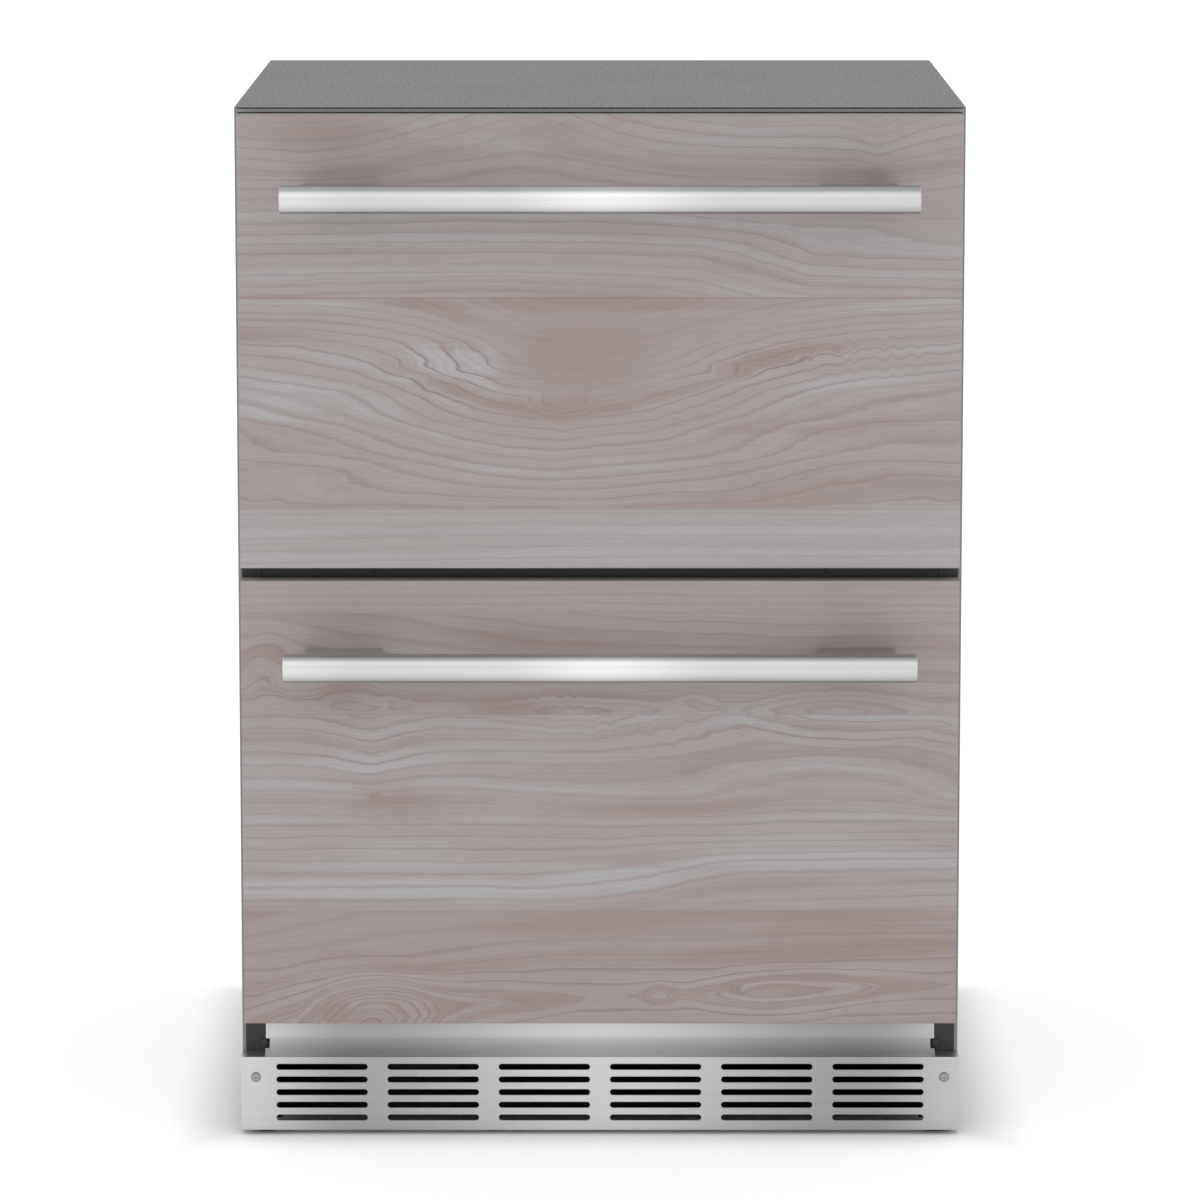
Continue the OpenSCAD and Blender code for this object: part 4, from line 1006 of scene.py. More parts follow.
def grid_pattern() -> Pattern:
    """Copies a small piece in columns along X and rows along Z, around a middle.

    Returns:
        The finished pattern.
    """
    made = Pattern("columns and rows")
    piece = made.node("ObjectInfo", {"Object": made.input("Piece", "Object")}).outputs["Geometry"]
    columns, rows = made.input("Columns", "Int"), made.input("Rows", "Int")
    wide = made.math("MULTIPLY", made.math("SUBTRACT", columns, 1.0), made.input("Column Pitch", "Float"))
    high = made.math("MULTIPLY", made.math("SUBTRACT", rows, 1.0), made.input("Row Pitch", "Float"))
    sizes = {"Size X": wide, "Size Y": high, "Vertices X": columns, "Vertices Y": rows}
    sheet = made.node("MeshGrid", sizes).outputs[0]
    place = {"Geometry": sheet, "Translation": made.input("Middle", "Vector"), "Rotation": (math.pi / 2, 0.0, 0.0)}
    upright = made.node("Transform", place).outputs[0]
    copies = made.node("InstanceOnPoints", {"Points": upright, "Instance": piece}).outputs[0]
    return made.finish(copies)


def thread_pattern(around: int = 24, flank_sides: int = 4, flank_share: float = 0.42) -> Pattern:
    """Winds a screw's thread up the Z axis.

    Args:
        around: Chords in one turn.
        flank_sides: Corners of the thread's own section.
        flank_share: The section's radius as a share of the pitch.

    Returns:
        The finished pattern.
    """
    made = Pattern("screw thread")
    radius, pitch, turns = (made.input(name, "Float") for name in ("Radius", "Pitch", "Turns"))
    height = made.math("MULTIPLY", pitch, turns)
    sizes = {"Rotations": turns, "Start Radius": radius, "End Radius": radius, "Height": height}
    spiral = made.node("CurveSpiral", {"Resolution": around, **sizes})
    flank_radius = made.math("MULTIPLY", pitch, flank_share)
    flank = made.node("CurvePrimitiveCircle", {"Resolution": flank_sides, "Radius": flank_radius})
    skin = made.node("CurveToMesh", {"Curve": spiral.outputs[0], "Profile Curve": flank.outputs[0], "Fill Caps": True})
    place = {"Geometry": skin.outputs[0], "Translation": made.input("Foot", "Vector")}
    return made.finish(made.node("Transform", place).outputs[0])


Dressing = tuple[str, str, float] | tuple[str, str, float, int]


@dataclass
class Kit:
    """What every sub-assembly works with: the frame, the paints and the patterns."""

    frame: dict
    paints: Paintbox
    scatter: Pattern
    grid: Pattern
    thread: Pattern

    def dress(self, node: str, finish: str, ease: float, segments: int = 2) -> bpy.types.Object:
        """Stands an eased copy in for a CAD node and paints it.

        Args:
            node: The CAD node.
            finish: The finish's name.
            ease: The width of the easing.
            segments: Faces across the easing.

        Returns:
            The new piece.
        """
        piece = eased(self.frame, node, ease, segments)
        self.paints.paint(piece, finish)
        log.info("%s: %s, %d faces", piece.name, finish, len(piece.data.polygons))
        return piece

    def keep(self, node: str, finish: str) -> None:
        """Keeps a CAD node as it is and paints it.

        Args:
            node: The CAD node.
            finish: The finish's name.
        """
        self.paints.paint(self.frame["nodes"][node], finish)
        log.info("%s: kept, %s", node, finish)

    def outfit(self, rows: Iterable[Dressing], prefix: str = "") -> None:
        """Dresses several CAD nodes in order, and keeps those without an easing as they are.

        Args:
            rows: A node, its finish, the easing's width in millimetres and, where it isn't two, the faces across.
            prefix: What every node's name starts with.
        """
        for node, finish, ease, *segments in rows:
            if ease:
                self.dress(prefix + node, finish, ease * MM, *segments)
            else:
                self.keep(prefix + node, finish)

    def mount(self, piece: bpy.types.Object, body: str, finish: str, *stands_for: str) -> bpy.types.Object:
        """Paints a new piece and fixes it to a body.

        Args:
            piece: The piece.
            body: The body it moves with.
            finish: The finish's name.
            stands_for: CAD nodes that it is shown instead of.

        Returns:
            The same piece.
        """
        self.paints.paint(piece, finish)
        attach(piece, body)
        if stands_for:
            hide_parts(*stands_for)
        log.info("%s: %s on %s, %d faces", piece.name, finish, body, len(piece.data.polygons))
        return piece

    def copies(self, pattern: Pattern, small: bpy.types.Object, name: str, finish: str,
               carrier: bpy.types.Mesh | None = None, **sizes: object) -> bpy.types.Object:
        """Copies a small piece with a pattern, and takes the small piece away again.

        Args:
            pattern: The pattern.
            small: The piece that is copied.
            name: The new piece's name.
            finish: Its finish's name.
            carrier: The mesh that the pattern starts from.
            sizes: The pattern's other inputs.

        Returns:
            The new piece.
        """
        made = pattern.run(name, self.paints.get(finish), carrier, Piece=small, **sizes)
        bpy.data.objects.remove(small)
        return made

    def screws(self, name: str, body: str, places: Sequence[Sequence[float]], radius: float, height: float,
               axis: Axis, way: int) -> None:
        """Screw heads at some places of a body.

        Args:
            name: The new piece's name.
            body: The body it moves with.
            places: Where the heads stand.
            radius: A head's radius.
            height: A head's height.
            axis: The axis they point along.
            way: 1 or -1 for the direction along it.
        """
        head = screw_head(name + "_head", radius, height, axis, way)
        made = self.copies(self.scatter, head, name, "screw_steel", self.points(name + "_places", places))
        self.mount(shade(made), body, "screw_steel")

    def points(self, name: str, places: Iterable[Sequence[float]]) -> bpy.types.Mesh:
        """A mesh of loose points for the scatter pattern.

        Args:
            name: Its name.
            places: The points.

        Returns:
            The mesh.
        """
        mesh = bpy.data.meshes.new(name)
        mesh.from_pydata([tuple(p) for p in places], [], [])
        return mesh


# ------------------------------------------------------------------ sub-assemblies


@dataclass
class CabinetShell:
    """Outer sheets, frame posts, mullion, liner and foam.

    The seam is the width of a black strip that paints the dark shade line under the top sheet's front edge,
    as painted shade; then come how far it stands below the top, how far in it starts and the easing of its
    ends. The seals are rubber strips between the posts and the toe recess: how far they reach over the post
    and beyond it, before and behind the recess's rear edge, and below and above it.
    """

    kit: Kit
    sheet_ease: float = 0.35 * MM
    thin_ease: float = 0.25 * MM
    liner_ease: float = 0.6 * MM
    rim_height: float = 0.2 * MM
    seam: float = 0.9 * MM
    shade_strip_drop: float = 0.3 * MM
    shade_strip_inset: float = 2 * MM
    shade_strip_end: float = 0.2 * MM
    seal_over: float = 1.5 * MM
    seal_beyond: float = 1.8 * MM
    seal_front: float = 0.2 * MM
    seal_back: float = 0.6 * MM
    seal_below: float = 1.5 * MM
    seal_above: float = 0.4 * MM
    seal_end: float = 0.3 * MM

    def build(self) -> None:
        """Builds and paints the whole shell."""
        self.sheets()
        self.frame_front()
        self.cavity()

    def sheets(self) -> None:
        """The painted and the zinc-coated sheets."""
        for side in Side:
            self.kit.dress(f"{side.value}_side_panel", "dark_side_paint", self.sheet_ease)
        top = self.kit.dress("top_panel", "speckled_top_paint", self.sheet_ease)
        lo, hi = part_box("top_panel")
        # Painted light: the top sheet's edges below its top face are marked to be painted paler.
        store(top, "rim", [float(corner.co.z < hi.z - self.rim_height) for corner in top.data.vertices])
        # Painted shade: a black strip stands for the dark shade line along the front edge.
        front, high, half = lo.y, hi.z - self.shade_strip_drop, self.seam / 2
        outline = ((front - half, high - 0.6 * half), (front - half, high - 1.4 * half),
                   (front - 0.6 * half, high - 2 * half), (front + half, high - 2 * half),
                   (front + half, high), (front - 0.6 * half, high))
        left, right = lo.x + self.shade_strip_inset, hi.x - self.shade_strip_inset
        seam = swept("top_sheet_front_seam", outline, Axis.X, left, right, self.shade_strip_end)
        self.kit.mount(shade(seam), "cabinet", "satin_black_paint")
        for node in ("back_panel", "machine_cover", "cabinet_floor"):
            self.kit.dress(node, "zinc_coated_sheet", self.thin_ease)
        self.kit.dress("base_pan", "satin_black_paint", self.thin_ease)

    def frame_front(self) -> None:
        """The black pieces that show round and between the drawers, and the seals at the toe recess."""
        for node in ("left_frame_post", "right_frame_post", "top_rail", "center_mullion"):
            self.kit.dress(node, "satin_black_paint", self.sheet_ease)
        self.kit.dress("body_screws", "satin_black_paint", self.thin_ease)
        lo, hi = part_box("toe_cove")
        front, back = hi.y - self.seal_front, hi.y + self.seal_back
        for side in Side:
            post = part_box(f"{side.value}_frame_post")
            edge, way = (post[1].x, 1) if side is Side.LEFT else (post[0].x, -1)
            near, far = edge - way * self.seal_over, edge + way * self.seal_beyond
            outline = ((near, front), (near, back), (far, back), (far, front))
            low, high = lo.z - self.seal_below, hi.z - self.seal_above
            seal = swept(f"{side.value}_toe_seal", outline, Axis.Z, low, high, self.seal_end)
            self.kit.mount(shade(seal), "cabinet", "soft_rubber")

    def cavity(self) -> None:
        """The liner and the foam behind it."""
        self.kit.dress("inner_liner", "white_liner", self.liner_ease)
        self.kit.keep("insulation_foam", "cabinet_foam")


@dataclass
class RearFittings:
    """The louvre hoods of the rear cover, and the screws on the back.

    A hood covers one slot of the cover: its length, how far it reaches over the slot's ends, how long its
    closed ends are, its height, and how far it stays inside the side sheets' rear edges. The top slots lie
    below the cover's upper edge, and the hoods start at the slots' upper edges. The sheet's screws have a
    radius and a height, and the cover's screws have a cross recess, with an arm's length and half width.
    """

    kit: Kit
    slot_length: float = 96 * MM
    slot_height: float = 5.6 * MM
    slot_drop: float = 30 * MM
    row_pitch: float = 12 * MM
    column_pitch: float = 118 * MM
    rows: int = 11
    columns: int = 4
    hood_overlap: float = 1.5 * MM
    hood_end: float = 4 * MM
    hood_height: float = 5.2 * MM
    hood_room: float = 0.05 * MM
    sheet_screw_inset: float = 24 * MM
    sheet_screw_rows: int = 5
    sheet_screw_columns: int = 4
    sheet_screw: tuple[float, float] = (3.4 * MM, 1.1 * MM)
    recess_arm: float = 2.2 * MM
    recess_half: float = 0.45 * MM
    cover_screw_spread: float = 273.2 * MM
    cover_screw_drop: float = 10 * MM

    def build(self) -> None:
        """Builds and paints everything that is fixed to the back."""
        self.louvre_hoods()
        self.back_screws()
        self.screw_recesses()

    def louvre_hoods(self) -> None:
        """A pressed hood over every air slot of the rear cover, like the ones that rain runs off."""
        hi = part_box("machine_cover")[1]
        half, rise = self.slot_length / 2 + self.hood_overlap, self.hood_height
        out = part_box("right_side_panel")[1].y - hi.y - self.hood_room
        profile = ((0.0, 0.0), (out * 0.55, rise * 0.12), (out, rise * 0.45), (out, rise * 0.62), (0.0, rise))
        ends = ((-half, 0.0), (-half + self.hood_end, 1.0), (half - self.hood_end, 1.0), (half, 0.0))
        points = [(x, y * keep, -z) for x, keep in ends for y, z in profile]
        mouth, stretches = len(profile) - 2, len(profile) - 1
        skin = quads(len(ends), len(profile), closed=False)
        hood = mesh_from("hood", points, [face for n, face in enumerate(skin) if n % stretches != mouth])
        top_row = hi.z - self.slot_drop + self.slot_height
        middle = (0.0, hi.y, top_row - (self.rows - 1) // 2 * self.row_pitch)
        made = self.kit.copies(
            self.kit.grid, hood, "rear_cover_louvres", "zinc_coated_sheet", Columns=self.columns, Rows=self.rows,
            Column_Pitch=self.column_pitch, Row_Pitch=self.row_pitch, Middle=middle)
        self.kit.mount(shade(made), "cabinet", "zinc_coated_sheet")

    def back_screws(self) -> None:
        """The screws round the edge of the back sheet."""
        lo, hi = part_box("back_panel")
        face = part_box("machine_cover")[1].y
        inset, rows, columns = self.sheet_screw_inset, self.sheet_screw_rows, self.sheet_screw_columns
        places = [(side * (hi.x - inset), face, lo.z + inset + row * (hi.z - lo.z - 2 * inset) / rows)
                  for side in (-1, 1) for row in range(rows + 1)]
        places += [((2 * column / columns - 1) * (hi.x - inset), face, hi.z - inset) for column in range(1, columns)]
        self.kit.screws("back_sheet_screws", "cabinet", places, *self.sheet_screw, Axis.Y, 1)

    def screw_recesses(self) -> None:
        """Cross recesses in the heads of the cover's screws."""
        back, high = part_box("body_screws")[1].y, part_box("machine_cover")[1].z - self.cover_screw_drop
        arm, half = self.recess_arm, self.recess_half
        bars = []
        for turn in (0.0, math.pi / 2):
            c, s = math.cos(turn), math.sin(turn)
            for u, w in ((-arm, -half), (arm, -half), (arm, half), (-arm, half)):
                bars.append((u * c - w * s, 0.0, u * s + w * c))
        cross = mesh_from("cross", bars, [(0, 1, 2, 3), (4, 5, 6, 7)])
        spread = self.cover_screw_spread
        places = self.kit.points("cover_screw_places", [(x, back, high) for x in (-spread, 0.0, spread)])
        made = self.kit.copies(self.kit.scatter, cross, "cover_screw_recesses", "black_plastic", places)
        self.kit.mount(made, "cabinet", "black_plastic")


@dataclass
class ToeSpace:
    """The toe recess, its steel painted brighter as painted light, the slotted grille with its screws, and the legs.

    A leg's visible shank is drawn in to the root of its thread, from the foot's nut upwards.
    """

    kit: Kit
    thread_pitch: float = 1.5 * MM
    shank_radius: float = 4 * MM
    shank_room: float = 0.1 * MM
    thread_root: float = 0.88
    thread_middle: float = 3.4 * MM
    thread_start: float = 26.5 * MM
    thread_end: float = 1 * MM
    nut_foot: float = 6 * MM

    def build(self) -> None:
        """Builds and paints the toe space."""
        self.kit.outfit((
            # The cove takes the paler copy of the stainless, as painted light.
            ("toe_cove", "cove_stainless", 0.3),
            ("base_grille", "brushed_stainless", 0.3),
            ("grille_screws", "screw_steel", 0.3, 3),
        ))
        for front in ("front", "rear"):
            for side in Side:
                self.leg(f"{front}_{side.value}_leg")

    def leg(self, node: str) -> None:
        """One levelling leg with the thread on its shank.

        Args:
            node: The leg's CAD node.
        """
        piece = self.kit.dress(node, "black_plastic", 0.4 * MM)
        lo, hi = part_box(node)
        foot = Vector(((lo.x + hi.x) / 2, (lo.y + hi.y) / 2, self.thread_start))
        for corner in piece.data.vertices:
            away = corner.co.xy - foot.xy
            if corner.co.z > self.nut_foot and away.length < self.shank_radius + self.shank_room:
                corner.co.xy = foot.xy + away * self.thread_root
        turns = (hi.z - self.thread_end - foot.z) / self.thread_pitch
        made = self.kit.thread.run(
            node + "_thread", self.kit.paints.get("screw_steel"), Radius=self.thread_middle,
            Pitch=self.thread_pitch, Turns=turns, Foot=tuple(foot))
        self.kit.mount(shade(made), self.kit.frame["nodes"][node]["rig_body"], "screw_steel")


@dataclass
class BarHandle:
    """A bar with a flat back and a softly crowned front, on two posts.

    The bar's colour is painted darker towards its lower edge, and a little towards its upper one, as painted
    shade: each has the power that the painted shade grows by, and the upper one its share.
    """

    kit: Kit
    level: Level
    crown: float = 0.96
    crown_depth: float = 6.5 * MM
    bevel: float = 0.7 * MM
    chords: int = 28
    under_power: float = 1.6
    over_power: int = 3
    over_share: float = 0.3

    def build(self) -> None:
        """Builds and paints the bar and its posts."""
        node = f"{self.level.value}_handle_bar"
        lo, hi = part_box(node)
        bar = swept(node + "_dressed", self.section(lo, hi), Axis.X, lo.x, hi.x, self.bevel)
        # Painted shade: the bar's sides are marked to be painted darker, most towards the lower edge.
        high = np.array([corner.co.z for corner in bar.data.vertices])
        away = (high - (lo.z + hi.z) / 2) / (hi.z - lo.z) * 2
        under, over = np.abs(away) ** self.under_power, self.over_share * np.abs(away) ** self.over_power
        store(bar, "flank", np.where(away < 0, under, over))
        self.kit.mount(shade(bar, 40.0), self.level.body, "satin_handle_steel", node)
        self.kit.dress(f"{self.level.value}_handle_posts", "satin_handle_steel", 0.4 * MM)

    def section(self, lo: Vector, hi: Vector) -> list[tuple[float, float]]:
        """The bar's section in Y and Z.

        Args:
            lo: The bar's lowest corner.
            hi: Its highest corner.

        Returns:
            The points, in order round the section.
        """
        half, middle = (hi.z - lo.z) / 2, (hi.z + lo.z) / 2
        upper, lower = (
            [(hi.y, middle + way * half - way * self.bevel),
             (hi.y - 0.3 * self.bevel, middle + way * half - way * 0.3 * self.bevel),
             (hi.y - self.bevel, middle + way * half)]
            for way in (1, -1)
        )
        crowned = []
        for k in range(self.chords + 1):
            a = math.pi / 2 - math.pi * k / self.chords
            y = lo.y + self.crown_depth * (1 - max(math.cos(a), 0.0) ** self.crown)
            crowned.append((y, middle + half * math.copysign(abs(math.sin(a)) ** self.crown, a)))
        return upper + crowned + lower[::-1]


@dataclass
class DrawerBox:
    """The insulated door, gasket, slides, bin and divider of one drawer.

    The drawer members' screws have a radius and a height, and their places are shares of the rail's length.
    """

    kit: Kit
    level: Level
    rail_sheet: float = 1.2 * MM
    rail_screw: tuple[float, float] = (3.8 * MM, 1.8 * MM)
    rail_places: tuple[float, ...] = (0.08, 0.3, 0.52, 0.74, 0.92)

    def build(self) -> None:
        """Builds and paints everything behind the drawer's wood panel."""
        name = self.level.value
        self.kit.outfit((
            ("drawer_door", "white_liner", 0.5, 3),
            ("gasket", "soft_rubber", 0.35),
            ("bin", "bin_plastic", 0.8, 3),
            ("divider", "divider_plastic", 0.5),
            ("panel_screws", "screw_steel", 0.2),
            ("cabinet_rails", "bright_zinc_rail", 0.2),
            ("middle_rails", "bright_zinc_rail", 0.2),
            ("drawer_rails", "bright_zinc_rail", 0.2),
        ), name + "_")
        lo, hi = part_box(f"{name}_drawer_rails")
        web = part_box(f"{name}_bin")[1].x + self.rail_sheet
        for side, way in ((Side.LEFT, -1), (Side.RIGHT, 1)):
            places = [(way * web, lo.y + share * (hi.y - lo.y), (lo.z + hi.z) / 2) for share in self.rail_places]
            piece = f"{name}_{side.value}_rail_screws"
            self.kit.screws(piece, self.level.body, places, *self.rail_screw, Axis.X, way)


@dataclass
class Refrigeration:
    """The machine space under the rear of the cabinet and the cold side behind the liner's cover.

    The cover's screws and the pads of the control strip have a radius and a height.
    """

    kit: Kit
    screw_inset: float = 11 * MM
    cover_screw: tuple[float, float] = (3.6 * MM, 1.4 * MM)
    pad: tuple[float, float] = (3.2 * MM, 0.25 * MM)
    pad_pitch: float = 24 * MM
    pads: int = 5

    def build(self) -> None:
        """Builds and paints the refrigeration pieces."""
        self.kit.outfit((
            ("compressor", "black_enamel", 0.5),
            ("compressor_grommets", "soft_rubber", 0.4),
            ("condenser_coil", "drawn_copper", 0.0),
            ("condenser_fan_shroud", "black_plastic", 0.4),
            ("condenser_fan_blade", "black_plastic", 0.2),
            ("drain_pan", "white_plastic", 0.5),
            ("filter_drier", "drawn_copper", 0.3),
            ("refrigerant_tubes", "drawn_copper", 0.0),
            ("power_module", "white_plastic", 0.6),
            ("power_inlet", "black_plastic", 0.4),
            ("evaporator_coil", "mill_aluminium", 0.0),
            ("evaporator_cover", "white_liner", 0.4),
            ("evaporator_fan_blade", "black_plastic", 0.2),
            ("led_lamp", "lamp_lens", 0.5),
            ("control_panel", "black_plastic", 0.5),
            ("temperature_sensor", "white_liner", 0.6),
        ))
        lo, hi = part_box("evaporator_cover")
        inset = self.screw_inset
        places = [(x, lo.y, z) for x in (lo.x + inset, 0.0, hi.x - inset) for z in (lo.z + inset, hi.z - inset)]
        self.kit.screws("evaporator_cover_screws", "cabinet", places, *self.cover_screw, Axis.Y, -1)
        self.touch_pads()

    def touch_pads(self) -> None:
        """A row of plain round touch pads on the front of the control strip."""
        lo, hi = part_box("control_panel")
        pad = screw_head("pad", *self.pad, Axis.Y, -1)
        middle = ((lo.x + hi.x) / 2, lo.y, (lo.z + hi.z) / 2)
        made = self.kit.copies(
            self.kit.grid, pad, "control_touch_pads", "lamp_lens", Columns=self.pads, Rows=1,
            Column_Pitch=self.pad_pitch, Row_Pitch=0.0, Middle=middle)
        self.kit.mount(shade(made), "cabinet", "lamp_lens")


# ------------------------------------------------------------------ wood


Course = tuple[float, tuple[tuple[float, float], ...]]


@dataclass(frozen=True)
class Plank:
    """One plank of a veneered panel: where it lies and how its growth lines run.

    Each course is a depth and the heights that a line there has on its way across. Where the plank has a
    fold, the lines above and below that depth mirror each other. The joint is how dark its upper edge is.
    """

    top: float
    bottom: float
    pitch: float
    courses: tuple[Course, ...]
    fold: float | None = None
    wobble: float = 2.0
    tone: float = 0.0
    contrast: float = 1.0
    joint: float = 0.0
    seed: int = 1


def smooth_noise(x: np.ndarray, z: np.ndarray, seed: int, size: int = 128) -> np.ndarray:
    """Value noise between -1 and 1 with cells of one unit.

    Args:
        x: The first coordinate.
        z: The second coordinate.
        seed: The number that picks the noise.
        size: Cells until it repeats.

    Returns:
        The noise at every point.
    """
    table = np.random.default_rng(seed).uniform(-1.0, 1.0, (size, size))
    ix, iz = np.floor(x).astype(int), np.floor(z).astype(int)
    fx, fz = x - ix, z - iz
    fx, fz = fx * fx * (3 - 2 * fx), fz * fz * (3 - 2 * fz)
    a, b = table[ix % size, iz % size], table[(ix + 1) % size, iz % size]
    c, d = table[ix % size, (iz + 1) % size], table[(ix + 1) % size, (iz + 1) % size]
    return (a * (1 - fx) + b * fx) * (1 - fz) + (c * (1 - fx) + d * fx) * fz


@dataclass(frozen=True)
class Spot:
    """A place on a panel and its reach, in millimetres right of the panel's middle and below its top."""

    x: float
    depth: float
    half_width: float
    half_height: float

    def share(self, u: np.ndarray, v: np.ndarray) -> np.ndarray:
        """How much the spot counts: one in its middle, none outside it.

        Args:
            u: Millimetres to the right of the panel's middle.
            v: Millimetres below its top.

        Returns:
            Its share at every point.
        """
        away = ((u - self.x) / self.half_width) ** 2 + ((v - self.depth) / self.half_height) ** 2
        return np.clip(1 - away, 0.0, 1.0) ** 1.5


@dataclass(frozen=True)
class Flame(Spot):
    """A figure in the grain: closed lines round a middle, pointed at its two ends when sharp."""

    lines: float
    sharp: float = 0.0

    def hill(self, u: np.ndarray, v: np.ndarray) -> np.ndarray:
        """A hill of height one over the figure's middle.

        Args:
            u: Millimetres to the right of the panel's middle.
            v: Millimetres below its top.

        Returns:
            The hill's height at every point.
        """
        across = np.abs(u - self.x) / self.half_width
        along = np.abs(v - self.depth) / self.half_height
        round_way = np.sqrt(across ** 2 + along ** 2)
        pointed = across ** 2 + along
        return np.clip(1 - ((1 - self.sharp) * round_way + self.sharp * pointed), 0.0, None)


@dataclass(frozen=True)
class Jag(Spot):
    """A patch where the lines zigzag along one axis, in turns that are a little uneven."""

    reach: float
    pitch: float
    along: Axis
    uneven: float = 0.35
    seed: int = 61

    def shift(self, u: np.ndarray, v: np.ndarray) -> np.ndarray:
        """How far the lines are pushed aside.

        Args:
            u: Millimetres to the right of the panel's middle.
            v: Millimetres below its top.

        Returns:
            The shift in millimetres at every point.
        """
        turn = ((v - self.depth) if self.along is Axis.X else (u - self.x)) / self.pitch
        turn = turn + self.uneven * smooth_noise(turn * 1.7 + 60, 0 * turn + 7, self.seed)
        wave = 2 * np.abs(2 * np.mod(turn + 0.25, 1.0) - 1) - 1
        return self.reach * wave * self.share(u, v)


@dataclass(frozen=True)
class Stain(Spot):
    """A soft patch of browner wood, or of paler wood where its strength is negative.

    Its calm hides the lines, or deepens them where it is negative.
    """

    strength: float
    calm: float = 0.0


@dataclass
class Grain:
    """The grain of one panel, in millimetres from its middle and from its top.

    The courses are read in steps and their corners softened over some of them. A seam is a dark line of this
    half width, and the planks' counts start far apart. Each ripple of the lines has a length, a height, an
    addition to the plank's seed and a share.
    """

    planks: tuple[Plank, ...]
    flames: tuple[Flame, ...] = ()
    jags: tuple[Jag, ...] = ()
    stains: tuple[Stain, ...] = ()
    step: float = 2.0
    softness: int = 9
    seam: float = 1.0
    reach: float = 320.0
    plank_count: float = 40.0
    ripples: tuple[tuple[float, float, int, float], ...] = (
        (55.0, 24.0, 0, 1.0), (15.0, 7.0, 50, 0.42), (5.5, 4.0, 80, 0.2))

    def fields(self, u: np.ndarray, v: np.ndarray) -> dict[str, np.ndarray]:
        """The numbers that the veneer's material reads.

        Args:
            u: Millimetres to the right of the panel's middle.
            v: Millimetres below its top.

        Returns:
            The growth lines' count, the tone, the contrast and the seams at every point.
        """
        growth, tone, contrast, seam = (np.zeros_like(u) for _ in range(4))
        across, down = u.copy(), v.copy()
        for jag in self.jags:
            if jag.along is Axis.X:
                across += jag.shift(u, v)
            else:
                down += jag.shift(u, v)
        for number, plank in enumerate(self.planks):
            first, last = number == 0, number == len(self.planks) - 1
            inside = ((v >= plank.top) | first) & ((v < plank.bottom) | last)
            level = self.level(plank, across[inside], down[inside])
            growth[inside] = level / plank.pitch + self.plank_count * (number + 1)
            tone[inside], contrast[inside] = plank.tone, plank.contrast
            if not first:
                seam = np.maximum(seam, plank.joint * np.clip(1 - np.abs(v - plank.top) / self.seam, 0.0, 1.0))
        for flame in self.flames:
            growth -= flame.lines * flame.hill(across, down)
        for stain in self.stains:
            share = stain.share(u, v)
            tone += stain.strength * share
            contrast *= 1 - stain.calm * share
        return {"growth": growth, "tone": tone, "contrast": contrast, "seam": seam}

    def level(self, plank: Plank, u: np.ndarray, v: np.ndarray) -> np.ndarray:
        """The level of the growth lines in one plank.

        Args:
            plank: The plank.
            u: Millimetres to the right of the panel's middle.
            v: Millimetres below its top.

        Returns:
            The level in millimetres.
        """
        rises = np.array([self.rise(points, u) for _, points in plank.courses])
        depths = np.array([depth for depth, _ in plank.courses])
        place = np.interp(v, depths, np.arange(len(depths)))
        row = np.minimum(place.astype(int), max(len(depths) - 2, 0))
        share = place - row
        share = share * share * (3 - 2 * share)
        pick = np.arange(len(u))
        rise = rises[row, pick] * (1 - share) + rises[np.minimum(row + 1, len(depths) - 1), pick] * share
        wave = sum(part * smooth_noise(u / length + 90, v / height + 9, plank.seed + more)
                   for length, height, more, part in self.ripples)
        level = v + rise + plank.wobble * wave
        return level if plank.fold is None else np.abs(level - plank.fold)

    def rise(self, points: tuple[tuple[float, float], ...], u: np.ndarray) -> np.ndarray:
        """The height of one course, with its corners softened.

        Args:
            points: Places across and heights.
            u: Where it is read.

        Returns:
            The heights.
        """
        places, heights = zip(*points)
        fine = np.arange(-self.reach, self.reach + 1.0, self.step)
        kernel = np.hanning(self.softness + 2)
        padded = np.pad(np.interp(fine, places, heights), len(kernel) // 2, mode="edge")
        return np.interp(u, fine, np.convolve(padded, kernel / kernel.sum(), "valid"))


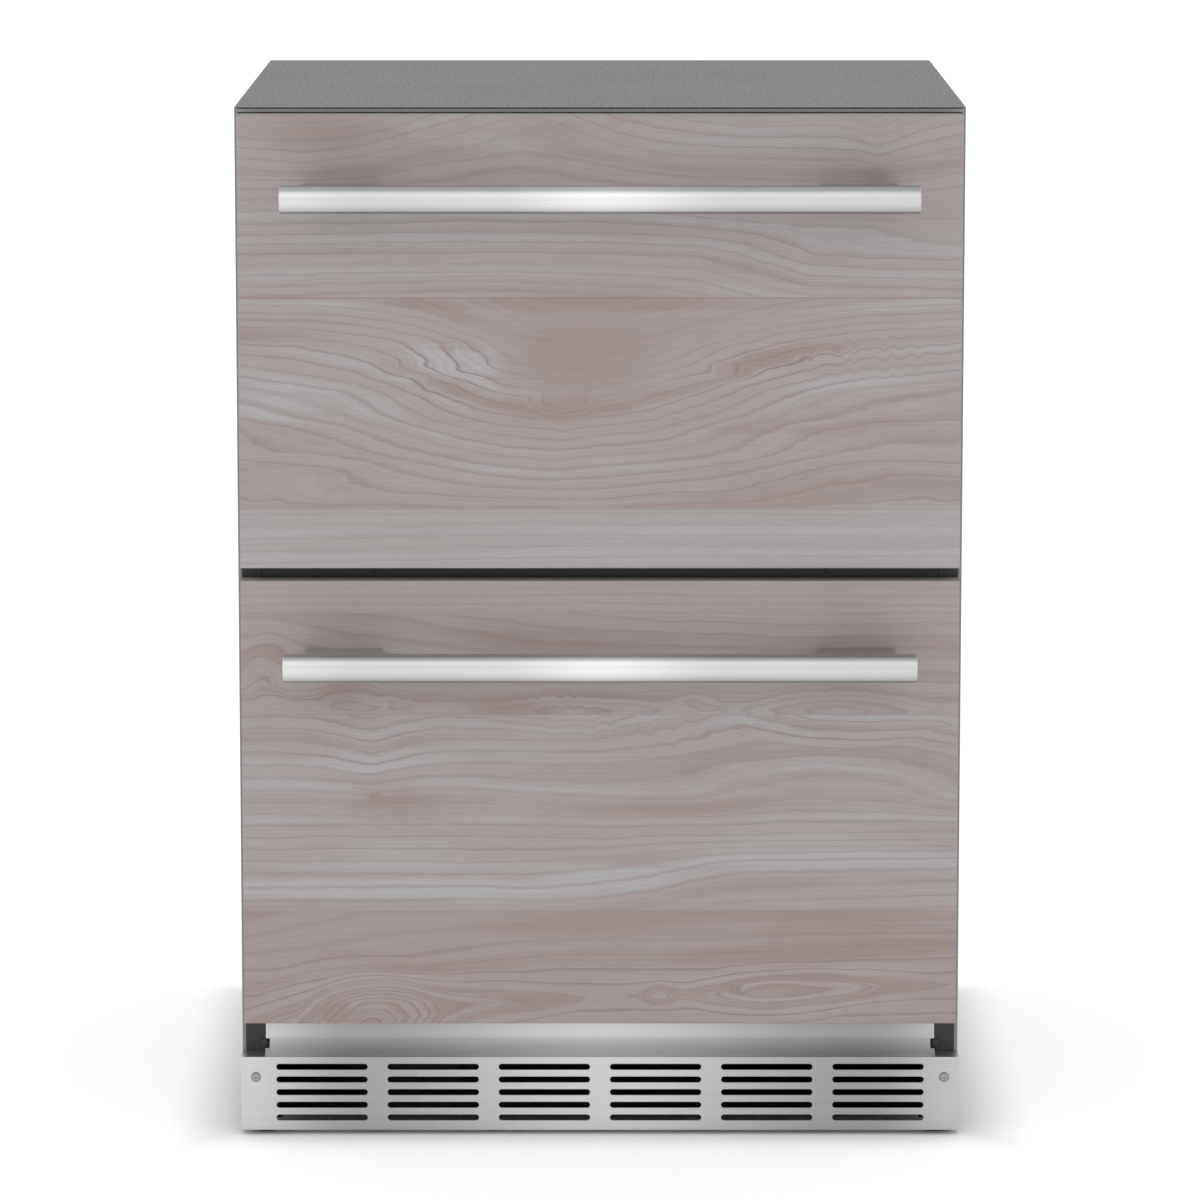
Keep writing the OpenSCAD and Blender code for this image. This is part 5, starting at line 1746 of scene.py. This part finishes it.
UPPER_GRAIN = Grain(
    planks=(
        Plank(0.0, 151.4, 9.0, (
            (0.0, ((-301, 0), (-279, -6), (-244, -7), (-206, -4), (-168, 8), (-141, 17), (-111, 24), (-73, 32),
                   (-54, 32), (-35, 29), (-12, 22), (22, 12), (61, 5), (118, -2), (156, 0), (194, 1), (219, -7),
                   (229, -12), (239, -7), (255, 2), (300, 12))),
            (38.0, ((-301, 0), (-244, -4), (-190, 2), (-141, 12), (-73, 20), (-35, 18), (22, 8), (80, 1),
                    (156, 0), (212, -3), (229, -8), (246, -3), (300, 8))),
            (66.0, ((-301, 0), (-141, 4), (0, 4), (150, 0), (229, -2), (300, 2))),
            (86.0, ((-301, 0), (0, 2), (118, -8), (300, -14))),
            (118.0, ((-301, 0), (-100, 3), (80, 0), (118, -8), (136, -14), (175, -26), (232, -30), (300, -32))),
            (151.4, ((-301, 0), (-100, 8), (0, 4), (80, -4), (136, -16), (175, -24), (300, -30)))),
            wobble=1.4, tone=0.15, contrast=0.85, seed=11),
        Plank(151.4, 327.8, 8.0, (
            (151.4, ((-301, 58), (-215, 56), (-150, 46), (-100, 26), (-60, 8), (-30, 3), (20, 4), (60, 12),
                     (100, 28), (150, 42), (215, 52), (300, 58))),
            (185.0, ((-301, 66), (-250, 64), (-200, 58), (-150, 48), (-100, 30), (-60, 14), (-30, 10), (10, 11),
                     (50, 18), (100, 36), (150, 50), (215, 60), (300, 66))),
            (224.0, ((-301, 63), (-250, 56), (-205, 49), (-170, 38), (-130, 24), (-80, 8), (-40, 2), (-30, 0),
                     (-20, 2), (30, 10), (90, 26), (140, 44), (190, 56), (240, 62), (300, 68))),
            (256.0, ((-301, 51), (-220, 39), (-160, 22), (-90, 7), (-40, 2), (-30, 0), (-20, 2), (40, 9),
                     (110, 26), (170, 40), (230, 48), (300, 50))),
            (287.0, ((-301, 33), (-220, 27), (-150, 14), (-100, 5), (-36, 0), (-30, 1), (60, 7), (130, 18),
                     (190, 28), (250, 32), (300, 31))),
            (327.8, ((-301, 4), (-30, 0), (120, 4), (200, 12), (260, 14), (300, 12)))),
            wobble=1.3, tone=0.2, contrast=1.05, joint=0.8, seed=12),
        Plank(327.8, 377.7, 9.0, ((327.8, ((-301, 0), (0, 1), (300, -2))), (377.7, ((-301, -6), (0, 0), (300, 0)))),
              wobble=0.7, tone=-0.5, contrast=0.5, joint=0.45, seed=13),
    ),
    flames=(
        Flame(228, 50, 7, 6, 1.0), Flame(-30, 240, 34, 17, 2.0, 1.0),
    ),
    jags=(
        Jag(-152, 206, 30, 34, 13, 26, Axis.X), Jag(-122, 210, 24, 34, 12, 28, Axis.X),
        Jag(-76, 204, 26, 38, 12, 27, Axis.X), Jag(106, 204, 34, 30, 15, 24, Axis.X),
        Jag(172, 198, 24, 22, 12, 20, Axis.X), Jag(226, 200, 84, 26, 2.4, 19, Axis.Z),
        Jag(170, 256, 30, 22, 8, 26, Axis.X), Jag(232, 258, 22, 18, 9, 20, Axis.X),
        Jag(-62, 14, 60, 30, 1.1, 13, Axis.Z),
    ),
    stains=(
        Stain(-230, 14, 90, 24, 0.9), Stain(-160, 62, 120, 26, 0.4), Stain(10, 172, 230, 34, 0.5, 0.7),
        Stain(-14, 206, 92, 42, 1.0, 0.85), Stain(-30, 246, 90, 16, 0.8), Stain(-30, 240, 40, 16, 0.2, -0.5),
        Stain(-125, 214, 70, 44, -0.15, -0.8), Stain(150, 206, 80, 36, -0.1, -0.7), Stain(10, 156, 250, 8, 0.7),
        Stain(228, 50, 14, 10, 0.9), Stain(-80, 22, 60, 16, -0.6), Stain(-200, 185, 90, 34, -0.45),
        Stain(-270, 238, 60, 20, -0.7), Stain(190, 230, 110, 30, -0.4), Stain(-150, 90, 200, 14, -0.35),
        Stain(0, 300, 300, 30, -0.25),
    ),
)
LOWER_GRAIN = Grain(
    planks=(
        Plank(0.0, 26.9, 7.0, ((0.0, ((-301, 0), (0, 1), (300, -1))),), wobble=0.6, tone=0.3, contrast=0.55, seed=21),
        Plank(26.9, 113.0, 12.5, (
            (27.0, ((-301, 4), (-240, 0), (-180, -8), (-110, -20), (-40, -30), (60, -38), (180, -42), (300, -40))),
            (60.0, ((-301, 0), (-240, -8), (-180, -16), (-110, -24), (0, -32), (120, -36), (300, -34))),
            (84.0, ((-301, -10), (-200, -14), (0, -14), (160, -12), (300, -12))),
            (113.0, ((-301, 0), (300, 0)))),
            fold=108.0, wobble=2.2, tone=0.4, contrast=0.9, joint=0.2, seed=22),
        Plank(113.0, 281.0, 10.5, (
            (113.0, ((-301, -2), (-240, -2), (-216, -8), (-191, -14), (-166, -6), (-130, 0), (-60, -4),
                     (-20, -2), (40, 8), (100, 22), (150, 32), (200, 34), (250, 22), (300, 0))),
            (148.0, ((-301, 0), (-230, -2), (-216, -5), (-191, -11), (-166, -4), (-150, 0), (-70, 2), (0, 0),
                     (50, 6), (110, 15), (180, 20), (250, 15), (300, 6))),
            (186.0, ((-301, 0), (-216, -1), (-191, -4), (-166, 0), (-120, 0), (0, -6), (80, -7), (160, 4),
                     (240, 2), (300, -10))),
            (212.0, ((-301, 1), (-120, 2), (0, 0), (80, 2), (160, 6), (300, 6))),
            (240.0, ((-301, 2), (-60, 2), (10, 6), (60, 16), (110, 24), (300, 28))),
            (281.0, ((-301, 0), (-10, 0), (40, 6), (80, 14), (120, 20), (300, 26)))),
            wobble=1.2, tone=0.07, contrast=0.9, joint=0.2, seed=23),
        Plank(281.0, 377.7, 12.5, (
            (281.0, ((-301, -22), (-250, -10), (-200, -2), (0, 0), (100, 4), (300, 6))),
            (330.0, ((-301, -26), (-250, -24), (-193, -22), (-150, -14), (-90, -5), (-30, 0), (100, 0),
                     (200, 6), (300, 9))),
            (377.7, ((-301, -22), (-250, -24), (-193, -24), (-150, -17), (-90, -7), (-30, -2), (100, 0),
                     (200, 6), (300, 9)))),
            fold=354.0, wobble=1.0, tone=0.7, contrast=1.15, seed=24),
    ),
    flames=(
        Flame(-276, 74, 26, 38, 1.3, 0.9), Flame(-170, 102, 14, 9, 1.2), Flame(-205, 96, 34, 20, 1.2, 0.7),
        Flame(-21, 112, 80, 26, 1.5, 0.8), Flame(-24, 112, 38, 10, 0.7, 0.4), Flame(86, 100, 22, 14, 1.1, 1.0),
        Flame(200, 114, 88, 34, 3.0, 0.4), Flame(-188, 185, 5, 4, 1.6), Flame(-193, 379, 64, 52, 5.4, 0.2),
        Flame(-206, 380, 96, 70, 3.4, 0.2), Flame(-150, 360, 74, 28, 1.2, 1.0),
        Flame(-130, 359, 128, 34, 1.6, 1.0), Flame(50, 353, 17, 12.5, 1.5), Flame(50, 353, 30, 16, 0.6),
        Flame(150, 351, 92, 30, 1.9, 0.9), Flame(140, 351, 42, 17, 1.1, 0.2), Flame(113, 347, 6, 5, 1.6),
        Flame(206, 344, 96, 20, 1.1, 1.0),
    ),
    jags=(
        Jag(-262, 84, 44, 46, 12, 44, Axis.X), Jag(-205, 100, 34, 22, 10, 22, Axis.X),
        Jag(-165, 98, 30, 18, 9, 15, Axis.X), Jag(-110, 98, 46, 22, 11, 17, Axis.X),
        Jag(-40, 100, 60, 20, 1.4, 15, Axis.Z), Jag(80, 100, 40, 20, 11, 18, Axis.X),
        Jag(30, 124, 110, 22, 2.2, 26, Axis.Z), Jag(200, 100, 80, 24, 0.8, 14, Axis.Z),
    ),
    stains=(
        Stain(-80, 108, 50, 10, 0.9), Stain(200, 108, 60, 14, 0.2), Stain(-220, 98, 30, 14, 0.5),
        Stain(-170, 190, 60, 26, 0.6), Stain(-188, 185, 9, 7, 1.6), Stain(60, 193, 180, 12, 0.6),
        Stain(-200, 262, 240, 9, -1.3), Stain(-160, 242, 220, 9, -0.9), Stain(10, 252, 70, 12, -1.0),
        Stain(160, 224, 170, 24, -0.7), Stain(60, 282, 150, 12, 0.7), Stain(-20, 294, 130, 12, 0.6),
        Stain(200, 284, 130, 10, 0.5), Stain(-224, 369, 16, 14, 1.1), Stain(-60, 357, 24, 6, 0.6),
        Stain(113, 348, 8, 6, 1.4), Stain(230, 330, 60, 8, -0.2), Stain(0, 292, 330, 30, 0.0, 0.75),
        Stain(-100, 195, 280, 16, 0.15, 0.4), Stain(-220, 86, 100, 46, 0.1, -0.7),
        Stain(-191, 150, 70, 50, 0.0, -0.5), Stain(180, 140, 130, 50, -0.1, -0.7),
        Stain(-193, 366, 110, 46, 0.0, -0.7), Stain(140, 350, 130, 28, 0.0, -0.8),
        Stain(0, 104, 120, 16, 0.0, -0.5),
    ),
)


@dataclass
class WoodPanel:
    """A drawer's wood panel, with a fine front that carries the grain."""

    kit: Kit
    level: Level
    grain: Grain
    cell: float = 2.2 * MM
    edge: float = 0.7 * MM

    def build(self) -> None:
        """Builds the panel in place of its CAD node."""
        node = f"{self.level.value}_wood_panel"
        lo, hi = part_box(node)
        xs, zs = self.lines(lo.x, hi.x), self.lines(lo.z, hi.z)
        seam = self.grain.seam
        seams = [hi.z - (plank.top + way) * MM for plank in self.grain.planks[1:] for way in (-seam, 0.0, seam)]
        zs = np.unique(np.concatenate((zs, seams)))
        points, faces = self.skin(lo, hi, xs, zs)
        panel = mesh_from(node + "_dressed", points, faces)
        place = np.array(points)
        fields = self.grain.fields((place[:, 0] - (lo.x + hi.x) / 2) / MM, (hi.z - place[:, 2]) / MM)
        for name, values in fields.items():
            store(panel, name, values)
        self.kit.mount(shade(panel, 50.0), self.level.body, "pale_planked_wood", node)

    def lines(self, start: float, end: float) -> np.ndarray:
        """Places across the panel, close together at its rounded edges.

        Args:
            start: The first edge.
            end: The last edge.

        Returns:
            The places in order.
        """
        count = int((end - start) / self.cell)
        inner = np.linspace(start + self.edge, end - self.edge, count)
        step = self.edge * 0.3
        return np.concatenate(([start, start + step], inner, [end - step, end]))

    def rounding(self, values: np.ndarray) -> np.ndarray:
        """How far the front lies back at its rounded edges.

        Args:
            values: Places across the panel, in order.

        Returns:
            The depth at every place.
        """
        near = np.minimum(values - values[0], values[-1] - values)
        away = np.clip(1 - near / self.edge, 0.0, 1.0)
        return self.edge * (1 - np.sqrt(np.clip(1 - away ** 2, 0.0, 1.0)))

    def skin(self, lo: Vector, hi: Vector, xs: np.ndarray, zs: np.ndarray) -> tuple[list, list]:
        """The closed skin of the panel.

        Args:
            lo: The panel's lowest corner.
            hi: Its highest corner.
            xs: Places across.
            zs: Places upwards.

        Returns:
            The points and the faces.
        """
        depth_x, depth_z = self.rounding(xs), self.rounding(zs)
        columns, rows = len(xs), len(zs)
        points = [(x, min(lo.y + max(dx, dz), hi.y), z) for z, dz in zip(zs, depth_z) for x, dx in zip(xs, depth_x)]
        faces = quads(rows, columns, closed=False)
        rim = list(range(columns)) + [r * columns + columns - 1 for r in range(1, rows)]
        rim += [(rows - 1) * columns + c for c in range(columns - 2, -1, -1)]
        rim += [r * columns for r in range(rows - 2, 0, -1)]
        first, count = len(points), len(rim)
        points += [(points[n][0], hi.y, points[n][2]) for n in rim]
        faces += [(rim[k], rim[(k + 1) % count], first + (k + 1) % count, first + k) for k in range(count)]
        faces.append(tuple(range(first, first + count)))
        return points, faces


# ------------------------------------------------------------------ studio


@dataclass(frozen=True)
class Lamp:
    """A soft rectangular light: its place, the point it shines at, its size and its power in watts."""

    name: str
    place: tuple[float, float, float]
    target: tuple[float, float, float]
    wide: float
    high: float
    power: float


@dataclass
class Studio:
    """A plain white studio: floor, world, soft lights and the camera of the photograph.

    The world's strength falls from just over the horizon to the zenith, and the floor reaches past the picture.
    """

    eye: tuple[float, float, float] = (0.0, -5.323, 1.250)
    pitch: float = 8.906
    lens: float = 184.0
    sensor: float = 36.0
    clip: tuple[float, float] = (0.1, 90.0)
    world: float = 1.12
    zenith: float = 0.6
    horizon: float = 0.1
    reach: float = 45.0
    lamps: tuple[Lamp, ...] = (
        Lamp("key", (0.0, -4.2, 3.0), (0.0, -0.2, 0.5), 4.0, 2.6, 14.0),
        Lamp("left_fill", (-2.6, -2.4, 1.3), (0.0, -0.2, 0.45), 1.2, 2.2, 6.0),
        Lamp("right_fill", (2.6, -2.4, 1.3), (0.0, -0.2, 0.45), 1.2, 2.2, 4.0),
    )

    def build(self) -> None:
        """Builds the studio round the cabinet."""
        self.floor()
        self.sky()
        for lamp in self.lamps:
            self.light(lamp)
        self.camera()
        bpy.context.scene.view_settings.view_transform = "Standard"

    def floor(self) -> None:
        """A pale floor with a painted glow, and a painted shadow round the object."""
        corners = [(x * self.reach, y * self.reach, 0) for x, y in ((-1, -1), (1, -1), (1, 1), (-1, 1))]
        sheet = mesh_from("floor", corners, [(0, 1, 2, 3)])
        sheet.data.materials.append(PaintedGlowFloor("studio_floor", "", (0.93, 0.93, 0.93), 0.6).build())

    def sky(self) -> None:
        """White light from all round, fainter from straight above."""
        world = bpy.data.worlds.new("studio")
        world.use_nodes = True
        nodes, links = world.node_tree.nodes, world.node_tree.links
        way = nodes.new("ShaderNodeSeparateXYZ")
        links.new(nodes.new("ShaderNodeTexCoord").outputs["Generated"], way.inputs[0])
        fade = nodes.new("ShaderNodeMapRange")
        links.new(way.outputs["Z"], fade.inputs["Value"])
        fade.inputs["From Min"].default_value = self.horizon
        fade.inputs["To Min"].default_value, fade.inputs["To Max"].default_value = self.world, self.zenith
        links.new(fade.outputs["Result"], nodes["Background"].inputs["Strength"])
        nodes["Background"].inputs["Color"].default_value = (1.0, 1.0, 1.0, 1.0)
        bpy.context.scene.world = world

    def light(self, lamp: Lamp) -> None:
        """Hangs up one light.

        Args:
            lamp: The light.
        """
        data = bpy.data.lights.new(lamp.name, "AREA")
        data.shape, data.size, data.size_y, data.energy = "RECTANGLE", lamp.wide, lamp.high, lamp.power
        hung = bpy.data.objects.new(lamp.name, data)
        hung.matrix_world = self.facing(lamp.place, lamp.target)
        bpy.context.scene.collection.objects.link(hung)

    def facing(self, place: Sequence[float], target: Sequence[float]) -> Matrix:
        """The matrix of something at one place that looks at another.

        Args:
            place: Where it is.
            target: The point it looks at.

        Returns:
            The matrix.
        """
        way = (Vector(target) - Vector(place)).to_track_quat("-Z", "Y").to_matrix().to_4x4()
        return Matrix.Translation(place) @ way

    def camera(self) -> None:
        """The camera, in front and a little above, with a long lens."""
        data = bpy.data.cameras.new("front")
        data.lens, data.sensor_width = self.lens, self.sensor
        data.clip_start, data.clip_end = self.clip
        camera = bpy.data.objects.new("front", data)
        tilt = Matrix.Rotation(math.radians(90.0 - self.pitch), 4, "X")
        camera.matrix_world = Matrix.Translation(self.eye) @ tilt
        bpy.context.scene.collection.objects.link(camera)
        bpy.context.scene.camera = camera


# ------------------------------------------------------------------ the whole object


def main() -> None:
    """Builds every sub-assembly in order, then the studio, and logs each piece's finish and face count."""
    logging.basicConfig(level=logging.INFO, format="%(name)s: %(message)s")
    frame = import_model()
    kit = Kit(frame, Paintbox(), scatter_pattern(), grid_pattern(), thread_pattern())
    parts = [CabinetShell(kit), RearFittings(kit), ToeSpace(kit)]
    for level, grain in ((Level.UPPER, UPPER_GRAIN), (Level.LOWER, LOWER_GRAIN)):
        parts += [DrawerBox(kit, level), WoodPanel(kit, level, grain), BarHandle(kit, level)]
    parts += [Refrigeration(kit), Studio()]
    for part in parts:
        log.info("building %s", type(part).__name__)
        part.build()


if __name__ == "__main__":
    main()
